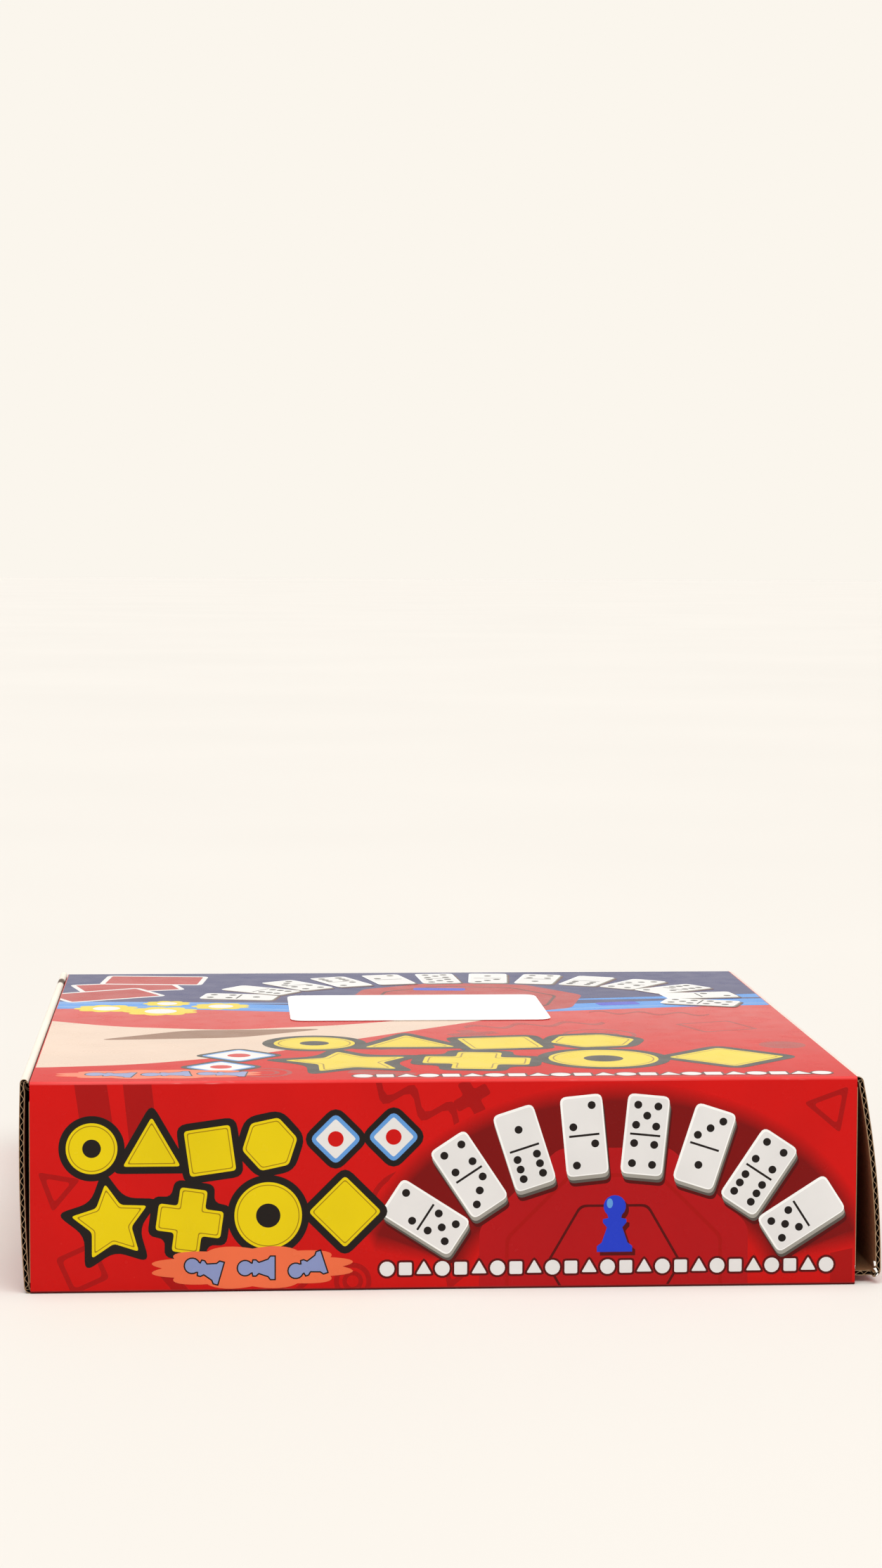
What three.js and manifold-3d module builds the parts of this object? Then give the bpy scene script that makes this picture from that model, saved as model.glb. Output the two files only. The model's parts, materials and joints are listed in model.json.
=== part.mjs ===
// Letter wheel game in its corrugated carton.
// Millimetres, +Z up. The origin is the middle of the carton's underside; the wide printed side
// faces -Y and the ends, with their flaps, face -X and +X. The wheel is sized round the cards and
// cells that it holds, and the carton is sized round the wheel.

import * as THREE from 'three';
import Module from 'manifold-3d';
import { mergeVertices } from 'three/addons/utils/BufferGeometryUtils.js';
import { ConvexGeometry } from 'three/addons/geometries/ConvexGeometry.js';

const wasm = await Module();
wasm.setup();

// Shared values
const seat_gap = 0.3; // between pieces that rest or slide on one another
const run_gap = 0.5; // round a barrel or slider that turns or runs
const overrun = 1; // how far a cutting solid passes the face that it cuts
const circle_sides = 24;

// Carton
const board = 1.7; // thickness of the corrugated board
const side_room = 8.8; // between a key's tip and the wall beside it
const head_room = 22.3; // between the timer button and the top panel
const glue_tab_height = 25;
const glue_tab_setback = 6; // from each end of the sleeve
const flap_inset = 0.8; // each side of an end flap, from the sleeve's side

// Right end flap and tuck, measured outwards from the end of the sleeve and up from its base
const right_fold_out = 6.2;
const right_fold_in_height = 4.6;
const right_fold_radius = 2.5;
const right_flap_bow = 1.6;
const right_tuck_start_height = 2.1;
const right_tuck_length = 19.9;
const right_tuck_rise = 4;

// Left end flap and tuck, measured outwards from the end and down from the sleeve's top
const left_fold_out = 1.75;
const left_fold_in_height = 0.5;
const left_fold_radius = 1.45;
const left_flap_bow = 0.9;
const left_tuck_setback = 0.4; // from the inner side of the fold to the tuck's end
const left_tuck_length = 18;
const left_tuck_rise = 4.4;

const tuck_side_inset = 3.2;
const tuck_corner_radius = 12;
const bow_steps = 8;
const corner_steps = 4;

// Dust flaps
const dust_length = 58;
const dust_taper = 13.5; // drop of the flap-side edge from crease to tip
const dust_hinge_margin = 2.4; // from the carton's face on the end flap's hinge side
const dust_tuck_margin = 5.8; // from the carton's face on the tuck's side

// Label on the top panel
const label_width = 94;
const label_depth = 66;
const label_thickness = 0.15;
const label_lift = 0.05;
const label_corner_radius = 5;
const label_rear_shift = 31;

// Wheel shells
const foot_height = 4.7;
const foot_radius = 7;
const plastic_wall = 2;
const skirt_gap = 7; // from the middle of a side to the root of its middle key
const deck_room = 1; // between the electronics and the deck
const tier_room = 7; // between the button's flange and the raised middle's wall
const tier_height = 8;
const nub_width = 3.5;
const nub_reach = 3.5;
const nub_height = 5;
const nub_drop = 6; // from the deck's top to the nub's top

// Letter keys
const key_letters = 'ABCDEFGHIJKLMNOPQRSTUVWZ';
const first_letter_shift = 3; // puts U and V on either side of the front corner
const barrel_radius = 3.2;
const barrel_length = 14;
const tail_width = 8;
const tail_thickness = 2.4;
const tail_below_hinge = 0.9;
const tail_drop_room = 3.6; // under the tail, for its swing over the base's wall
const tail_reach_in = 6;
const hinge_to_root = 15; // from the hinge line to the root of the cap
const key_length = 31;
const key_root_half_width = 7.5;
const key_tip_half_width = 13.5;
const key_side_bevel = 2.4;
const key_end_bevel = 1.6;
const key_corner_radius = 2.6;
const key_under_hinge = 3; // underside of the cap below the hinge line
const key_root_rise = 7.5; // top of the cap above the hinge line, at its root
const key_tip_rise = 4.2; // the same at its tip
const notch_side_gap = 1;
const notch_rise = 2.7; // top of the slot above the hinge line

// Key rail and catch band
const rail_height = 5;
const rail_lip = 1.3;
const rail_lip_height = 1.5;
const rib_half_width = 1.5;
const band_thickness = 0.8;
const band_above_hinge = 4.5;
const band_room = 1.534; // from the corner of the battery bay to the band

// Card pocket and what it holds
const card_width = 57;
const card_length = 87;
const deck_thickness = 6;
const leaflet_thickness = 0.9;
const pocket_side_gap = 1.5;
const pocket_wall = 1.5;

// Batteries, bay and contacts
const cell_radius = 5.25;
const cell_length = 44.5;
const cell_gap = 0.8; // between the two cells
const cell_button_radius = 1.9;
const cell_button_length = 0.8;
const contact_thickness = 0.5;
const contact_height = 9;
const bay_side_gap = 5.1; // between the card pocket's wall and the bay's
const bay_wall = 1.5;

// Sliding doors under the floor
const door_thickness = 1.8;
const door_overlap = 1.5; // how far a door's edge passes its opening
const door_rail_web = 1.5;
const door_rail_lip = 2;
const door_rail_lip_height = 1.2;
const card_rail_length = 88;
const battery_rail_length = 38;
const battery_rail_shift = 9.5; // outwards from the bay's middle

// Screws
const screw_post_angle = 52.5;
const screw_post_radius = 3.5;
const screw_post_room = 2.2; // between a post and the catch band
const screw_shank_radius = 1.2;
const screw_hole_radius = 1.6;
const screw_head_radius = 3;
const screw_head_height = 1.5;
const screw_length = 14;

// Timer button, its spring and the electronics
const button_apothem = 22;
const button_flange = 3;
const button_flange_height = 2;
const button_rise = 8; // above the tier
const button_travel = 3.5;
const button_bevel = 3;
const button_bevel_height = 2;
const button_wall = 2.4;
const button_stem_radius = 3;
const spring_radius = 8;
const spring_wire_radius = 0.6;
const spring_turns = 5;
const board_side = 44;
const circuit_thickness = 1.6;
const tact_radius = 3;
const tact_height = 0.9;
const tact_gap = 0.2; // left under the stem when the button is down
const buzzer_radius = 10;
const buzzer_height = 6;
const buzzer_side_gap = 6.8; // between the card pocket's wall and the buzzer's ring
const buzzer_ring_wall = 1.4;
const buzzer_ring_height = 2.5;

// Mode switch
const switch_angle = -67.5;
const switch_travel = 4; // to each side
const switch_knob_length = 7;
const switch_knob_width = 6.4;
const switch_knob_rise = 3;
const switch_plate_length = 14;
const switch_plate_width = 10;
const switch_plate_thickness = 1.5;

// Plan of the wheel, from what it holds outwards
const pocket_half_x = card_width / 2 + pocket_side_gap;
const pocket_half_y = card_length / 2 + pocket_side_gap;
const cell_pitch = 2 * cell_radius + cell_gap;
const bay_half_x = cell_pitch / 2 + cell_radius + run_gap;
const bay_half_y = cell_length / 2 + seat_gap + contact_thickness + seat_gap;
const bay_centre_x = pocket_half_x + pocket_wall + bay_side_gap + bay_wall + bay_half_x;
const bay_corner = Math.hypot(bay_centre_x + bay_half_x + bay_wall, bay_half_y + bay_wall);
const band_inner = bay_corner + band_room;
const band_outer = band_inner + band_thickness;
const hinge_radius = band_outer + run_gap + tail_reach_in;
const key_root_radius = hinge_radius + hinge_to_root;
const key_tip_radius = key_root_radius + key_length;
const wheel_apothem = key_root_radius - skirt_gap; // centre to the middle of one of eight sides
const foot_ring_radius = hinge_radius;
const post_ring_radius = band_inner - screw_post_room - screw_post_radius;
const tier_apothem = button_apothem + button_flange + plastic_wall + tier_room;
const switch_radius = (tier_apothem + hinge_radius) / 2;
const buzzer_ring_inner = buzzer_radius + seat_gap;
const buzzer_x = -(pocket_half_x + pocket_wall + buzzer_side_gap + buzzer_ring_wall + buzzer_ring_inner);

// Heights of the wheel, in its own group, from its feet upwards
const wheel_lift = board + seat_gap;
const floor_under = foot_height + seat_gap;
const floor_top = floor_under + plastic_wall;
const rail_top = floor_top + rail_height;
const hinge_z = rail_top + seat_gap + barrel_radius;
const split_z = hinge_z - tail_below_hinge - tail_drop_room;
const door_top = floor_under - 2 * seat_gap;
const door_under = door_top - door_thickness;
const stack_base = door_top + seat_gap;
const upper_deck_base = stack_base + deck_thickness + seat_gap;
const leaflet_base = upper_deck_base + deck_thickness + seat_gap;
const pocket_roof_under = leaflet_base + leaflet_thickness + run_gap;
const pocket_roof_top = pocket_roof_under + pocket_wall;
const cell_z = stack_base + cell_radius;
const bay_roof_under = cell_z + cell_radius + run_gap;
const circuit_under = pocket_roof_top + seat_gap;
const circuit_top = circuit_under + circuit_thickness;
const deck_under = circuit_top + tact_height + deck_room;
const deck_top = deck_under + plastic_wall;
const tier_top = deck_top + tier_height;
const tier_under = tier_top - plastic_wall;
const button_top = tier_top + button_rise;
const button_ceiling = button_top - button_bevel_height - button_wall;
const stem_end = circuit_top + tact_height + tact_gap + button_travel;

// The carton round the wheel, and the steps round the wheel
const half_width = key_tip_radius + side_room + board;
const half_depth = half_width;
const carton_height = wheel_lift + button_top + head_room + board;
const key_count = key_letters.length;
const key_step = 360 / key_count;
const side_step = 360 / 8;

// Solids from three.js shapes, and three.js shapes from solids

function solidOf(geometry) {
  const bare = geometry.clone();
  bare.deleteAttribute('normal');
  bare.deleteAttribute('uv');
  const merged = mergeVertices(bare);
  return new wasm.Manifold(new wasm.Mesh({
    numProp: 3,
    vertProperties: new Float32Array(merged.attributes.position.array),
    triVerts: new Uint32Array(merged.index.array),
  }));
}

function geometryOf(solid) {
  const mesh = solid.getMesh();
  const geometry = new THREE.BufferGeometry();
  geometry.setAttribute('position', new THREE.BufferAttribute(mesh.vertProperties, 3));
  geometry.setIndex(new THREE.BufferAttribute(mesh.triVerts, 1));
  geometry.computeVertexNormals();
  return geometry;
}

function slab([x0, x1], [y0, y1], [z0, z1]) {
  const box = new THREE.BoxGeometry(x1 - x0, y1 - y0, z1 - z0);
  box.translate((x0 + x1) / 2, (y0 + y1) / 2, (z0 + z1) / 2);
  return solidOf(box);
}

function prism(points, [z0, z1]) {
  const shape = new THREE.Shape(points);
  const body = new THREE.ExtrudeGeometry(shape, { depth: z1 - z0, bevelEnabled: false });
  body.translate(0, 0, z0);
  return solidOf(body);
}

// A section drawn in x and z, drawn out along y
function bar_along_y(points, [y0, y1]) {
  const shape = new THREE.Shape(points);
  const body = new THREE.ExtrudeGeometry(shape, { depth: y1 - y0, bevelEnabled: false });
  body.rotateX(Math.PI / 2);
  body.translate(0, y1, 0);
  return solidOf(body);
}

// A section drawn in y and z, drawn out along x
function bar_along_x(points, [x0, x1]) {
  const shape = new THREE.Shape(points);
  const body = new THREE.ExtrudeGeometry(shape, { depth: x1 - x0, bevelEnabled: false });
  body.rotateX(Math.PI / 2);
  body.rotateZ(Math.PI / 2);
  body.translate(x0, 0, 0);
  return solidOf(body);
}

function disc(radius, [z0, z1], [x, y] = [0, 0], sides = circle_sides) {
  return prism(polygon(radius, sides).map((p) => new THREE.Vector2(p.x + x, p.y + y)), [z0, z1]);
}

function turn(degrees, solid) {
  return solid.rotate([0, 0, degrees]);
}

function degrees(value) {
  return value * Math.PI / 180;
}

// Corners of a regular polygon, the first one at the given angle
function polygon(radius, sides, first = 0) {
  const points = [];
  for (let i = 0; i < sides; i += 1) {
    const angle = degrees(first + 360 * i / sides);
    points.push(new THREE.Vector2(radius * Math.cos(angle), radius * Math.sin(angle)));
  }
  return points;
}

function octagon(apothem, span) {
  return prism(polygon(apothem / Math.cos(degrees(side_step / 2)), 8), span);
}

// A ring whose flats face the keys
function key_ring(inner, outer, span) {
  const grow = 1 / Math.cos(degrees(key_step / 2));
  const wide = [span[0] - overrun, span[1] + overrun];
  return prism(polygon(outer * grow, key_count), span)
    .subtract(prism(polygon(inner * grow, key_count), wide));
}

function rounded_rectangle([x0, x1], [y0, y1], radii, steps = corner_steps) {
  const corners = [
    [x1 - radii[0], y0 + radii[0], radii[0], -90],
    [x1 - radii[1], y1 - radii[1], radii[1], 0],
    [x0 + radii[2], y1 - radii[2], radii[2], 90],
    [x0 + radii[3], y0 + radii[3], radii[3], 180],
  ];
  const points = [];
  for (const [x, y, radius, from] of corners) {
    if (radius === 0) {
      points.push(new THREE.Vector2(x, y));
      continue;
    }
    for (let i = 0; i <= steps; i += 1) {
      const angle = degrees(from + 90 * i / steps);
      points.push(new THREE.Vector2(x + radius * Math.cos(angle), y + radius * Math.sin(angle)));
    }
  }
  return points;
}

// The finished object
const game = new THREE.Group();
const wheel = new THREE.Group();
wheel.position.z = wheel_lift;
game.add(wheel);

function finish(colour, roughness, metalness = 0) {
  return new THREE.MeshStandardMaterial({ color: colour, roughness, metalness });
}

const printed_board = finish(0xc41612, 0.45);
const paper = finish(0xf4f2ec, 0.6);
const card_stock = finish(0xe9e4d6, 0.5);
const red_plastic = finish(0xb31319, 0.35);
const white_plastic = finish(0xf1f0ec, 0.35);
const blue_plastic = finish(0x1d3f9e, 0.35);
const dark_rubber = finish(0x202020, 0.9);
const circuit_green = finish(0x1c6b38, 0.5);
const black_plastic = finish(0x17171a, 0.4);
const steel = finish(0xb9bcc0, 0.3, 0.9);
const cell_jacket = finish(0x5a6672, 0.4, 0.3);

function add(group, name, solid, material) {
  const mesh = new THREE.Mesh(geometryOf(solid), material);
  mesh.name = name;
  group.add(mesh);
}

// Carton sleeve: four panels, and the glue tab inside the rear panel

function carton_sleeve() {
  const outside = slab([-half_width, half_width], [-half_depth, half_depth], [0, carton_height]);
  const inside = slab(
    [-half_width - overrun, half_width + overrun],
    [board - half_depth, half_depth - board],
    [board, carton_height - board],
  );
  const tab_y = half_depth - board;
  const tab = slab(
    [glue_tab_setback - half_width, half_width - glue_tab_setback],
    [tab_y - board, tab_y],
    [board, board + glue_tab_height],
  );
  return outside.subtract(inside).add(tab);
}

// Each end is drawn as the right end is: u runs outwards from the sleeve's end, and v away from
// the panel that the tuck goes under. The left end is the right end turned half round the y axis.
const right_end = {
  place: (u, v) => new THREE.Vector2(half_width + u, v),
  fold_out: right_fold_out,
  fold_height: right_fold_in_height,
  fold_radius: right_fold_radius,
  bow: right_flap_bow,
  tuck_start: [right_fold_out - right_fold_radius - seat_gap, right_tuck_start_height],
  tuck_length: right_tuck_length,
  tuck_rise: right_tuck_rise,
};
const left_end = {
  place: (u, v) => new THREE.Vector2(-half_width - u, carton_height - v),
  fold_out: left_fold_out,
  fold_height: left_fold_in_height,
  fold_radius: left_fold_radius,
  bow: left_flap_bow,
  tuck_start: [left_fold_out - left_fold_radius + left_tuck_setback, board + seat_gap],
  tuck_length: left_tuck_length,
  tuck_rise: left_tuck_rise,
};

// The flap bows outwards a little between its crease and its fold, and ends in the round fold
function end_flap(end) {
  const from = new THREE.Vector2(board + seat_gap, carton_height);
  const to = new THREE.Vector2(end.fold_out + end.fold_radius, end.fold_height);
  const outer = [];
  const inner = [];
  for (let i = 0; i <= bow_steps; i += 1) {
    const t = i / bow_steps;
    const u = from.x + (to.x - from.x) * t + 4 * end.bow * t * (1 - t);
    const v = from.y + (to.y - from.y) * t;
    outer.push(end.place(u, v));
    inner.unshift(end.place(u - board, v));
  }
  const span = [flap_inset - half_depth, half_depth - flap_inset];
  const strip = bar_along_y([...outer, ...inner], span);
  const middle = end.place(end.fold_out, end.fold_height);
  const fold_points = polygon(end.fold_radius, circle_sides / 2).map((p) => p.add(middle));
  return strip.add(bar_along_y(fold_points, span));
}

// The tuck leaves the fold level and curves away from the panel that it lies under
function tuck_flap(end) {
  const [u0, v0] = end.tuck_start;
  const near = [];
  const far = [];
  for (let i = 0; i <= bow_steps; i += 1) {
    const t = i / bow_steps;
    const v = v0 + end.tuck_rise * t * t;
    near.push(end.place(u0 - end.tuck_length * t, v));
    far.unshift(end.place(u0 - end.tuck_length * t, v + board));
  }
  const half_span = half_depth - flap_inset - tuck_side_inset;
  const sheet = bar_along_y([...near, ...far], [-half_span, half_span]);
  const root = end.place(u0, 0).x;
  const tip = end.place(u0 - end.tuck_length, 0).x;
  const r = tuck_corner_radius;
  const tip_is_left = tip < root;
  const outline = rounded_rectangle(
    tip_is_left ? [tip, root + overrun] : [root - overrun, tip],
    [-half_span, half_span],
    tip_is_left ? [0, 0, r, r] : [r, r, 0, 0],
  );
  return sheet.intersect(prism(outline, [-overrun, carton_height + overrun]));
}

// A dust flap stands across the end, just inside it, from its crease towards the middle
function dust_flap(end, side) {
  const crease = half_depth - board - seat_gap;
  const tip = half_depth - dust_length;
  const points = [
    [crease, dust_tuck_margin],
    [crease, carton_height - dust_hinge_margin],
    [tip, carton_height - dust_hinge_margin - dust_taper],
    [tip, dust_tuck_margin],
  ].map(([y, v]) => new THREE.Vector2(side * y, end.place(0, v).y));
  if ((side > 0) === (end === right_end)) points.reverse();
  const faces = [end.place(0, 0).x, end.place(-board, 0).x].sort((a, b) => a - b);
  return bar_along_x(points, faces);
}

function label_sticker() {
  const half_x = label_width / 2;
  const half_y = label_depth / 2;
  const r = label_corner_radius;
  const outline = rounded_rectangle(
    [-half_x, half_x],
    [label_rear_shift - half_y, label_rear_shift + half_y],
    [r, r, r, r],
  );
  const under = carton_height + label_lift;
  return prism(outline, [under, under + label_thickness]);
}

add(game, 'carton_sleeve', carton_sleeve(), printed_board);
add(game, 'right_end_flap', end_flap(right_end), printed_board);
add(game, 'right_tuck_flap', tuck_flap(right_end), printed_board);
add(game, 'left_end_flap', end_flap(left_end), printed_board);
add(game, 'left_tuck_flap', tuck_flap(left_end), printed_board);
add(game, 'right_dust_flap_front', dust_flap(right_end, -1), printed_board);
add(game, 'right_dust_flap_rear', dust_flap(right_end, 1), printed_board);
add(game, 'left_dust_flap_front', dust_flap(left_end, -1), printed_board);
add(game, 'left_dust_flap_rear', dust_flap(left_end, 1), printed_board);
add(game, 'label_sticker', label_sticker(), paper);

// Places that repeat round the wheel
const key_angles = [...key_letters].map((_, i) => key_step / 2 + key_step * i);
const post_x = post_ring_radius * Math.cos(degrees(screw_post_angle));
const post_y = post_ring_radius * Math.sin(degrees(screw_post_angle));
const post_places = [[1, 1], [-1, 1], [-1, -1], [1, -1]].map(([sx, sy]) => [sx * post_x, sy * post_y]);

// Top shell: deck, skirt with a slot for each key, nubs between the keys, raised middle, the rib
// that holds the key barrels down, screw posts and the switch's guides

function key_slots() {
  const wide = [-tail_width / 2 - notch_side_gap, tail_width / 2 + notch_side_gap];
  const reach = wheel_apothem / Math.cos(degrees(side_step / 2)) + overrun;
  const slot = slab(
    [wheel_apothem - plastic_wall - overrun, reach],
    wide,
    [split_z - overrun, hinge_z + notch_rise],
  );
  return wasm.Manifold.union(key_angles.map((angle) => turn(angle, slot)));
}

function nubs() {
  const list = key_angles.map((angle) => {
    const between = angle + key_step / 2;
    const from_side = ((between - side_step / 2) % side_step + side_step) % side_step;
    const off = Math.min(from_side, side_step - from_side);
    const face = wheel_apothem / Math.cos(degrees(off));
    const top = deck_top - nub_drop;
    const block = slab(
      [face - plastic_wall, face + nub_reach],
      [-nub_width / 2, nub_width / 2],
      [top - nub_height, top],
    );
    return turn(between, block);
  });
  return wasm.Manifold.union(list);
}

function screw_posts() {
  const posts = post_places.map((place) => {
    const post = disc(screw_post_radius, [floor_top + seat_gap, deck_under + overrun / 2], place);
    const bore_span = [floor_top - overrun, floor_under + screw_length + overrun];
    return post.subtract(disc(screw_hole_radius, bore_span, place, circle_sides / 2));
  });
  return wasm.Manifold.union(posts);
}

// The switch's own frame: x along its travel, y outwards from the wheel's centre
function place_switch(solid) {
  return solid.translate([0, switch_radius, 0]).rotate([0, 0, switch_angle - 90]);
}

function switch_guides() {
  const inner = switch_plate_width / 2 + seat_gap;
  const low = deck_under - seat_gap - switch_plate_thickness - seat_gap;
  const half = switch_plate_length / 2 + switch_travel;
  const guide = slab([-half, half], [inner, inner + pocket_wall], [low - pocket_wall, deck_under])
    .add(slab([-half, half], [inner - pocket_wall, inner + pocket_wall / 2], [low - pocket_wall, low]));
  return place_switch(guide.add(guide.rotate([0, 0, 180])));
}

function wheel_housing() {
  const hollow = wheel_apothem - plastic_wall;
  const well = tier_apothem - plastic_wall;
  const top_hole = button_apothem + run_gap;
  const rib_span = [hinge_z + barrel_radius + seat_gap, deck_under + overrun / 2];
  const switch_slot = slab(
    [-switch_knob_length / 2 - switch_travel - seat_gap, switch_knob_length / 2 + switch_travel + seat_gap],
    [-switch_knob_width / 2 - seat_gap, switch_knob_width / 2 + seat_gap],
    [deck_under - overrun, deck_top + overrun],
  );
  return octagon(wheel_apothem, [split_z + seat_gap, deck_top])
    .subtract(octagon(hollow, [split_z - overrun, deck_under]))
    .add(nubs())
    .subtract(key_slots())
    .add(octagon(tier_apothem, [deck_under, tier_top]))
    .subtract(octagon(well, [deck_under - overrun, tier_under]))
    .subtract(octagon(top_hole, [tier_under - overrun, tier_top + overrun]))
    .add(key_ring(hinge_radius - rib_half_width, hinge_radius + rib_half_width, rib_span))
    .add(screw_posts())
    .add(switch_guides())
    .subtract(place_switch(switch_slot));
}

// Lower shell: floor and wall, rail for the barrels, card pocket, battery bay, door rails

function lidded_box(centre_x, half_x, half_y, wall, roof_under) {
  const block = slab(
    [centre_x - half_x - wall, centre_x + half_x + wall],
    [-half_y - wall, half_y + wall],
    [floor_under, roof_under + wall],
  );
  const hollow = slab(
    [centre_x - half_x, centre_x + half_x],
    [-half_y, half_y],
    [floor_under - overrun, roof_under],
  );
  return [block, hollow];
}

// Two angle rails along x that carry a door just under the floor
function door_rails(length, half_gap) {
  const web = [half_gap, half_gap + door_rail_web];
  const foot = [half_gap - door_rail_lip, half_gap + door_rail_web];
  const low = door_under - seat_gap - door_rail_lip_height;
  const span = [-length / 2, length / 2];
  const rail = slab(span, web, [low, floor_under + overrun])
    .add(slab(span, foot, [low, low + door_rail_lip_height]));
  return rail.add(rail.rotate([0, 0, 180]));
}

function wheel_base() {
  const [pocket_block, pocket_hollow] = lidded_box(
    0, pocket_half_x, pocket_half_y, pocket_wall, pocket_roof_under,
  );
  const [bay_block, bay_hollow] = lidded_box(
    bay_centre_x, bay_half_x, bay_half_y, bay_wall, bay_roof_under,
  );
  const inner = hinge_radius - barrel_radius - run_gap;
  const outer = hinge_radius + barrel_radius + run_gap;
  const lip_span = [floor_under + overrun, rail_top + rail_lip_height];
  const card_gap = pocket_half_x + door_overlap + seat_gap;
  const battery_gap = bay_half_y + door_overlap + seat_gap;
  const bores = post_places.map((place) => {
    const span = [floor_under - overrun, floor_top + overrun];
    return disc(screw_hole_radius, span, place, circle_sides / 2);
  });
  const ring_centre = [buzzer_x, 0];
  const ring_span = [floor_under + overrun, floor_top + buzzer_ring_height];
  const buzzer_ring = disc(buzzer_ring_inner + buzzer_ring_wall, ring_span, ring_centre)
    .subtract(disc(buzzer_ring_inner, [floor_top, floor_top + buzzer_ring_height + overrun], ring_centre));
  return octagon(wheel_apothem, [floor_under, split_z])
    .subtract(octagon(wheel_apothem - plastic_wall, [floor_top, split_z + overrun]))
    .add(key_ring(inner - rail_lip, outer + rail_lip, [floor_under + overrun, rail_top]))
    .add(key_ring(inner - rail_lip, inner, lip_span))
    .add(key_ring(outer, outer + rail_lip, lip_span))
    .add(pocket_block)
    .add(bay_block)
    .add(buzzer_ring)
    .add(door_rails(card_rail_length, card_gap).rotate([0, 0, 90]))
    .add(door_rails(battery_rail_length, battery_gap).translate([bay_centre_x + battery_rail_shift, 0, 0]))
    .subtract(pocket_hollow)
    .subtract(bay_hollow)
    .subtract(wasm.Manifold.union(bores));
}

// A key: a bevelled cap on a tail that goes through its slot to a barrel on the rail

function key_cap() {
  const under = hinge_z - key_under_hinge;
  const levels = [
    { inset: 0, end_inset: 0, root_z: under, tip_z: under },
    {
      inset: key_side_bevel,
      end_inset: key_end_bevel,
      root_z: hinge_z + key_root_rise,
      tip_z: hinge_z + key_tip_rise,
    },
  ];
  const points = [];
  for (const level of levels) {
    const root = key_root_radius + level.end_inset;
    const tip = key_tip_radius - level.end_inset;
    const corners = [
      [root, key_root_half_width - level.inset, level.root_z, 1],
      [tip, key_tip_half_width - level.inset, level.tip_z, -1],
    ];
    for (const [x, y, z, inwards] of corners) {
      for (const side of [-1, 1]) {
        points.push(new THREE.Vector3(x + inwards * key_corner_radius, side * y, z));
        points.push(new THREE.Vector3(
          x + inwards * key_corner_radius * (1 - Math.SQRT1_2),
          side * (y - key_corner_radius * (1 - Math.SQRT1_2)),
          z,
        ));
        points.push(new THREE.Vector3(x, side * (y - key_corner_radius), z));
      }
    }
  }
  return solidOf(new ConvexGeometry(points));
}

function letter_key() {
  const barrel = disc(barrel_radius, [-barrel_length / 2, barrel_length / 2], [0, 0], circle_sides / 2)
    .rotate([90, 0, 0])
    .translate([hinge_radius, 0, hinge_z]);
  const tail_low = hinge_z - tail_below_hinge;
  const tail = slab(
    [hinge_radius - tail_reach_in, key_root_radius + key_end_bevel + overrun],
    [-tail_width / 2, tail_width / 2],
    [tail_low, tail_low + tail_thickness],
  );
  return key_cap().add(tail).add(barrel);
}

// The middle button: a bevelled eight-sided cap, hollow below, with a flange that keeps it in

function timer_button() {
  const flange_top = tier_under - seat_gap;
  const flange_under = flange_top - button_flange_height;
  const lower = polygon(button_apothem / Math.cos(degrees(side_step / 2)), 8);
  const upper = polygon((button_apothem - button_bevel) / Math.cos(degrees(side_step / 2)), 8);
  const points = [
    ...lower.map((p) => new THREE.Vector3(p.x, p.y, flange_under)),
    ...lower.map((p) => new THREE.Vector3(p.x, p.y, button_top - button_bevel_height)),
    ...upper.map((p) => new THREE.Vector3(p.x, p.y, button_top)),
  ];
  return solidOf(new ConvexGeometry(points))
    .add(octagon(button_apothem + button_flange, [flange_under, flange_top]))
    .subtract(octagon(button_apothem - button_wall, [flange_under - overrun, button_ceiling]))
    .add(disc(button_stem_radius, [stem_end, button_ceiling + overrun], [0, 0], circle_sides / 2));
}

class Coil extends THREE.Curve {
  constructor(radius, turns, low, high) {
    super();
    this.radius = radius;
    this.turns = turns;
    this.low = low;
    this.high = high;
  }

  getPoint(t, target = new THREE.Vector3()) {
    const angle = 2 * Math.PI * this.turns * t;
    return target.set(
      this.radius * Math.cos(angle),
      this.radius * Math.sin(angle),
      this.low + (this.high - this.low) * t,
    );
  }
}

function button_spring() {
  const low = circuit_top + seat_gap + spring_wire_radius;
  const high = button_ceiling - seat_gap - spring_wire_radius;
  const section = new THREE.Shape(polygon(spring_wire_radius, 5));
  const wire = new THREE.ExtrudeGeometry(section, {
    steps: 8 * spring_turns,
    extrudePath: new Coil(spring_radius, spring_turns, low, high),
    bevelEnabled: false,
  });
  return solidOf(wire);
}

function circuit_board() {
  const half = board_side / 2;
  return slab([-half, half], [-half, half], [circuit_under, circuit_top])
    .add(disc(tact_radius, [circuit_under, circuit_top + tact_height], [0, 0], circle_sides / 2));
}

function mode_switch() {
  const plate_top = deck_under - seat_gap;
  const plate = slab(
    [-switch_plate_length / 2, switch_plate_length / 2],
    [-switch_plate_width / 2, switch_plate_width / 2],
    [plate_top - switch_plate_thickness, plate_top],
  );
  const knob = slab(
    [-switch_knob_length / 2, switch_knob_length / 2],
    [-switch_knob_width / 2, switch_knob_width / 2],
    [plate_top - switch_plate_thickness, deck_top + switch_knob_rise],
  );
  return place_switch(plate.add(knob));
}

function cell() {
  const barrel = disc(cell_radius, [-cell_length / 2, cell_length / 2 - cell_button_length]);
  const button = disc(cell_button_radius, [0, cell_length / 2], [0, 0], circle_sides / 2);
  return barrel.add(button).rotate([90, 0, 0]);
}

function contact(side) {
  const inner = cell_length / 2 + seat_gap;
  const faces = [side * inner, side * (inner + contact_thickness)].sort((a, b) => a - b);
  return slab(
    [bay_centre_x - bay_half_x + seat_gap, bay_centre_x + bay_half_x - seat_gap],
    faces,
    [cell_z - contact_height / 2, cell_z + contact_height / 2],
  );
}

function pocket_sheet(low, thickness) {
  return slab(
    [-card_width / 2, card_width / 2],
    [-card_length / 2, card_length / 2],
    [low, low + thickness],
  );
}

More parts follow.
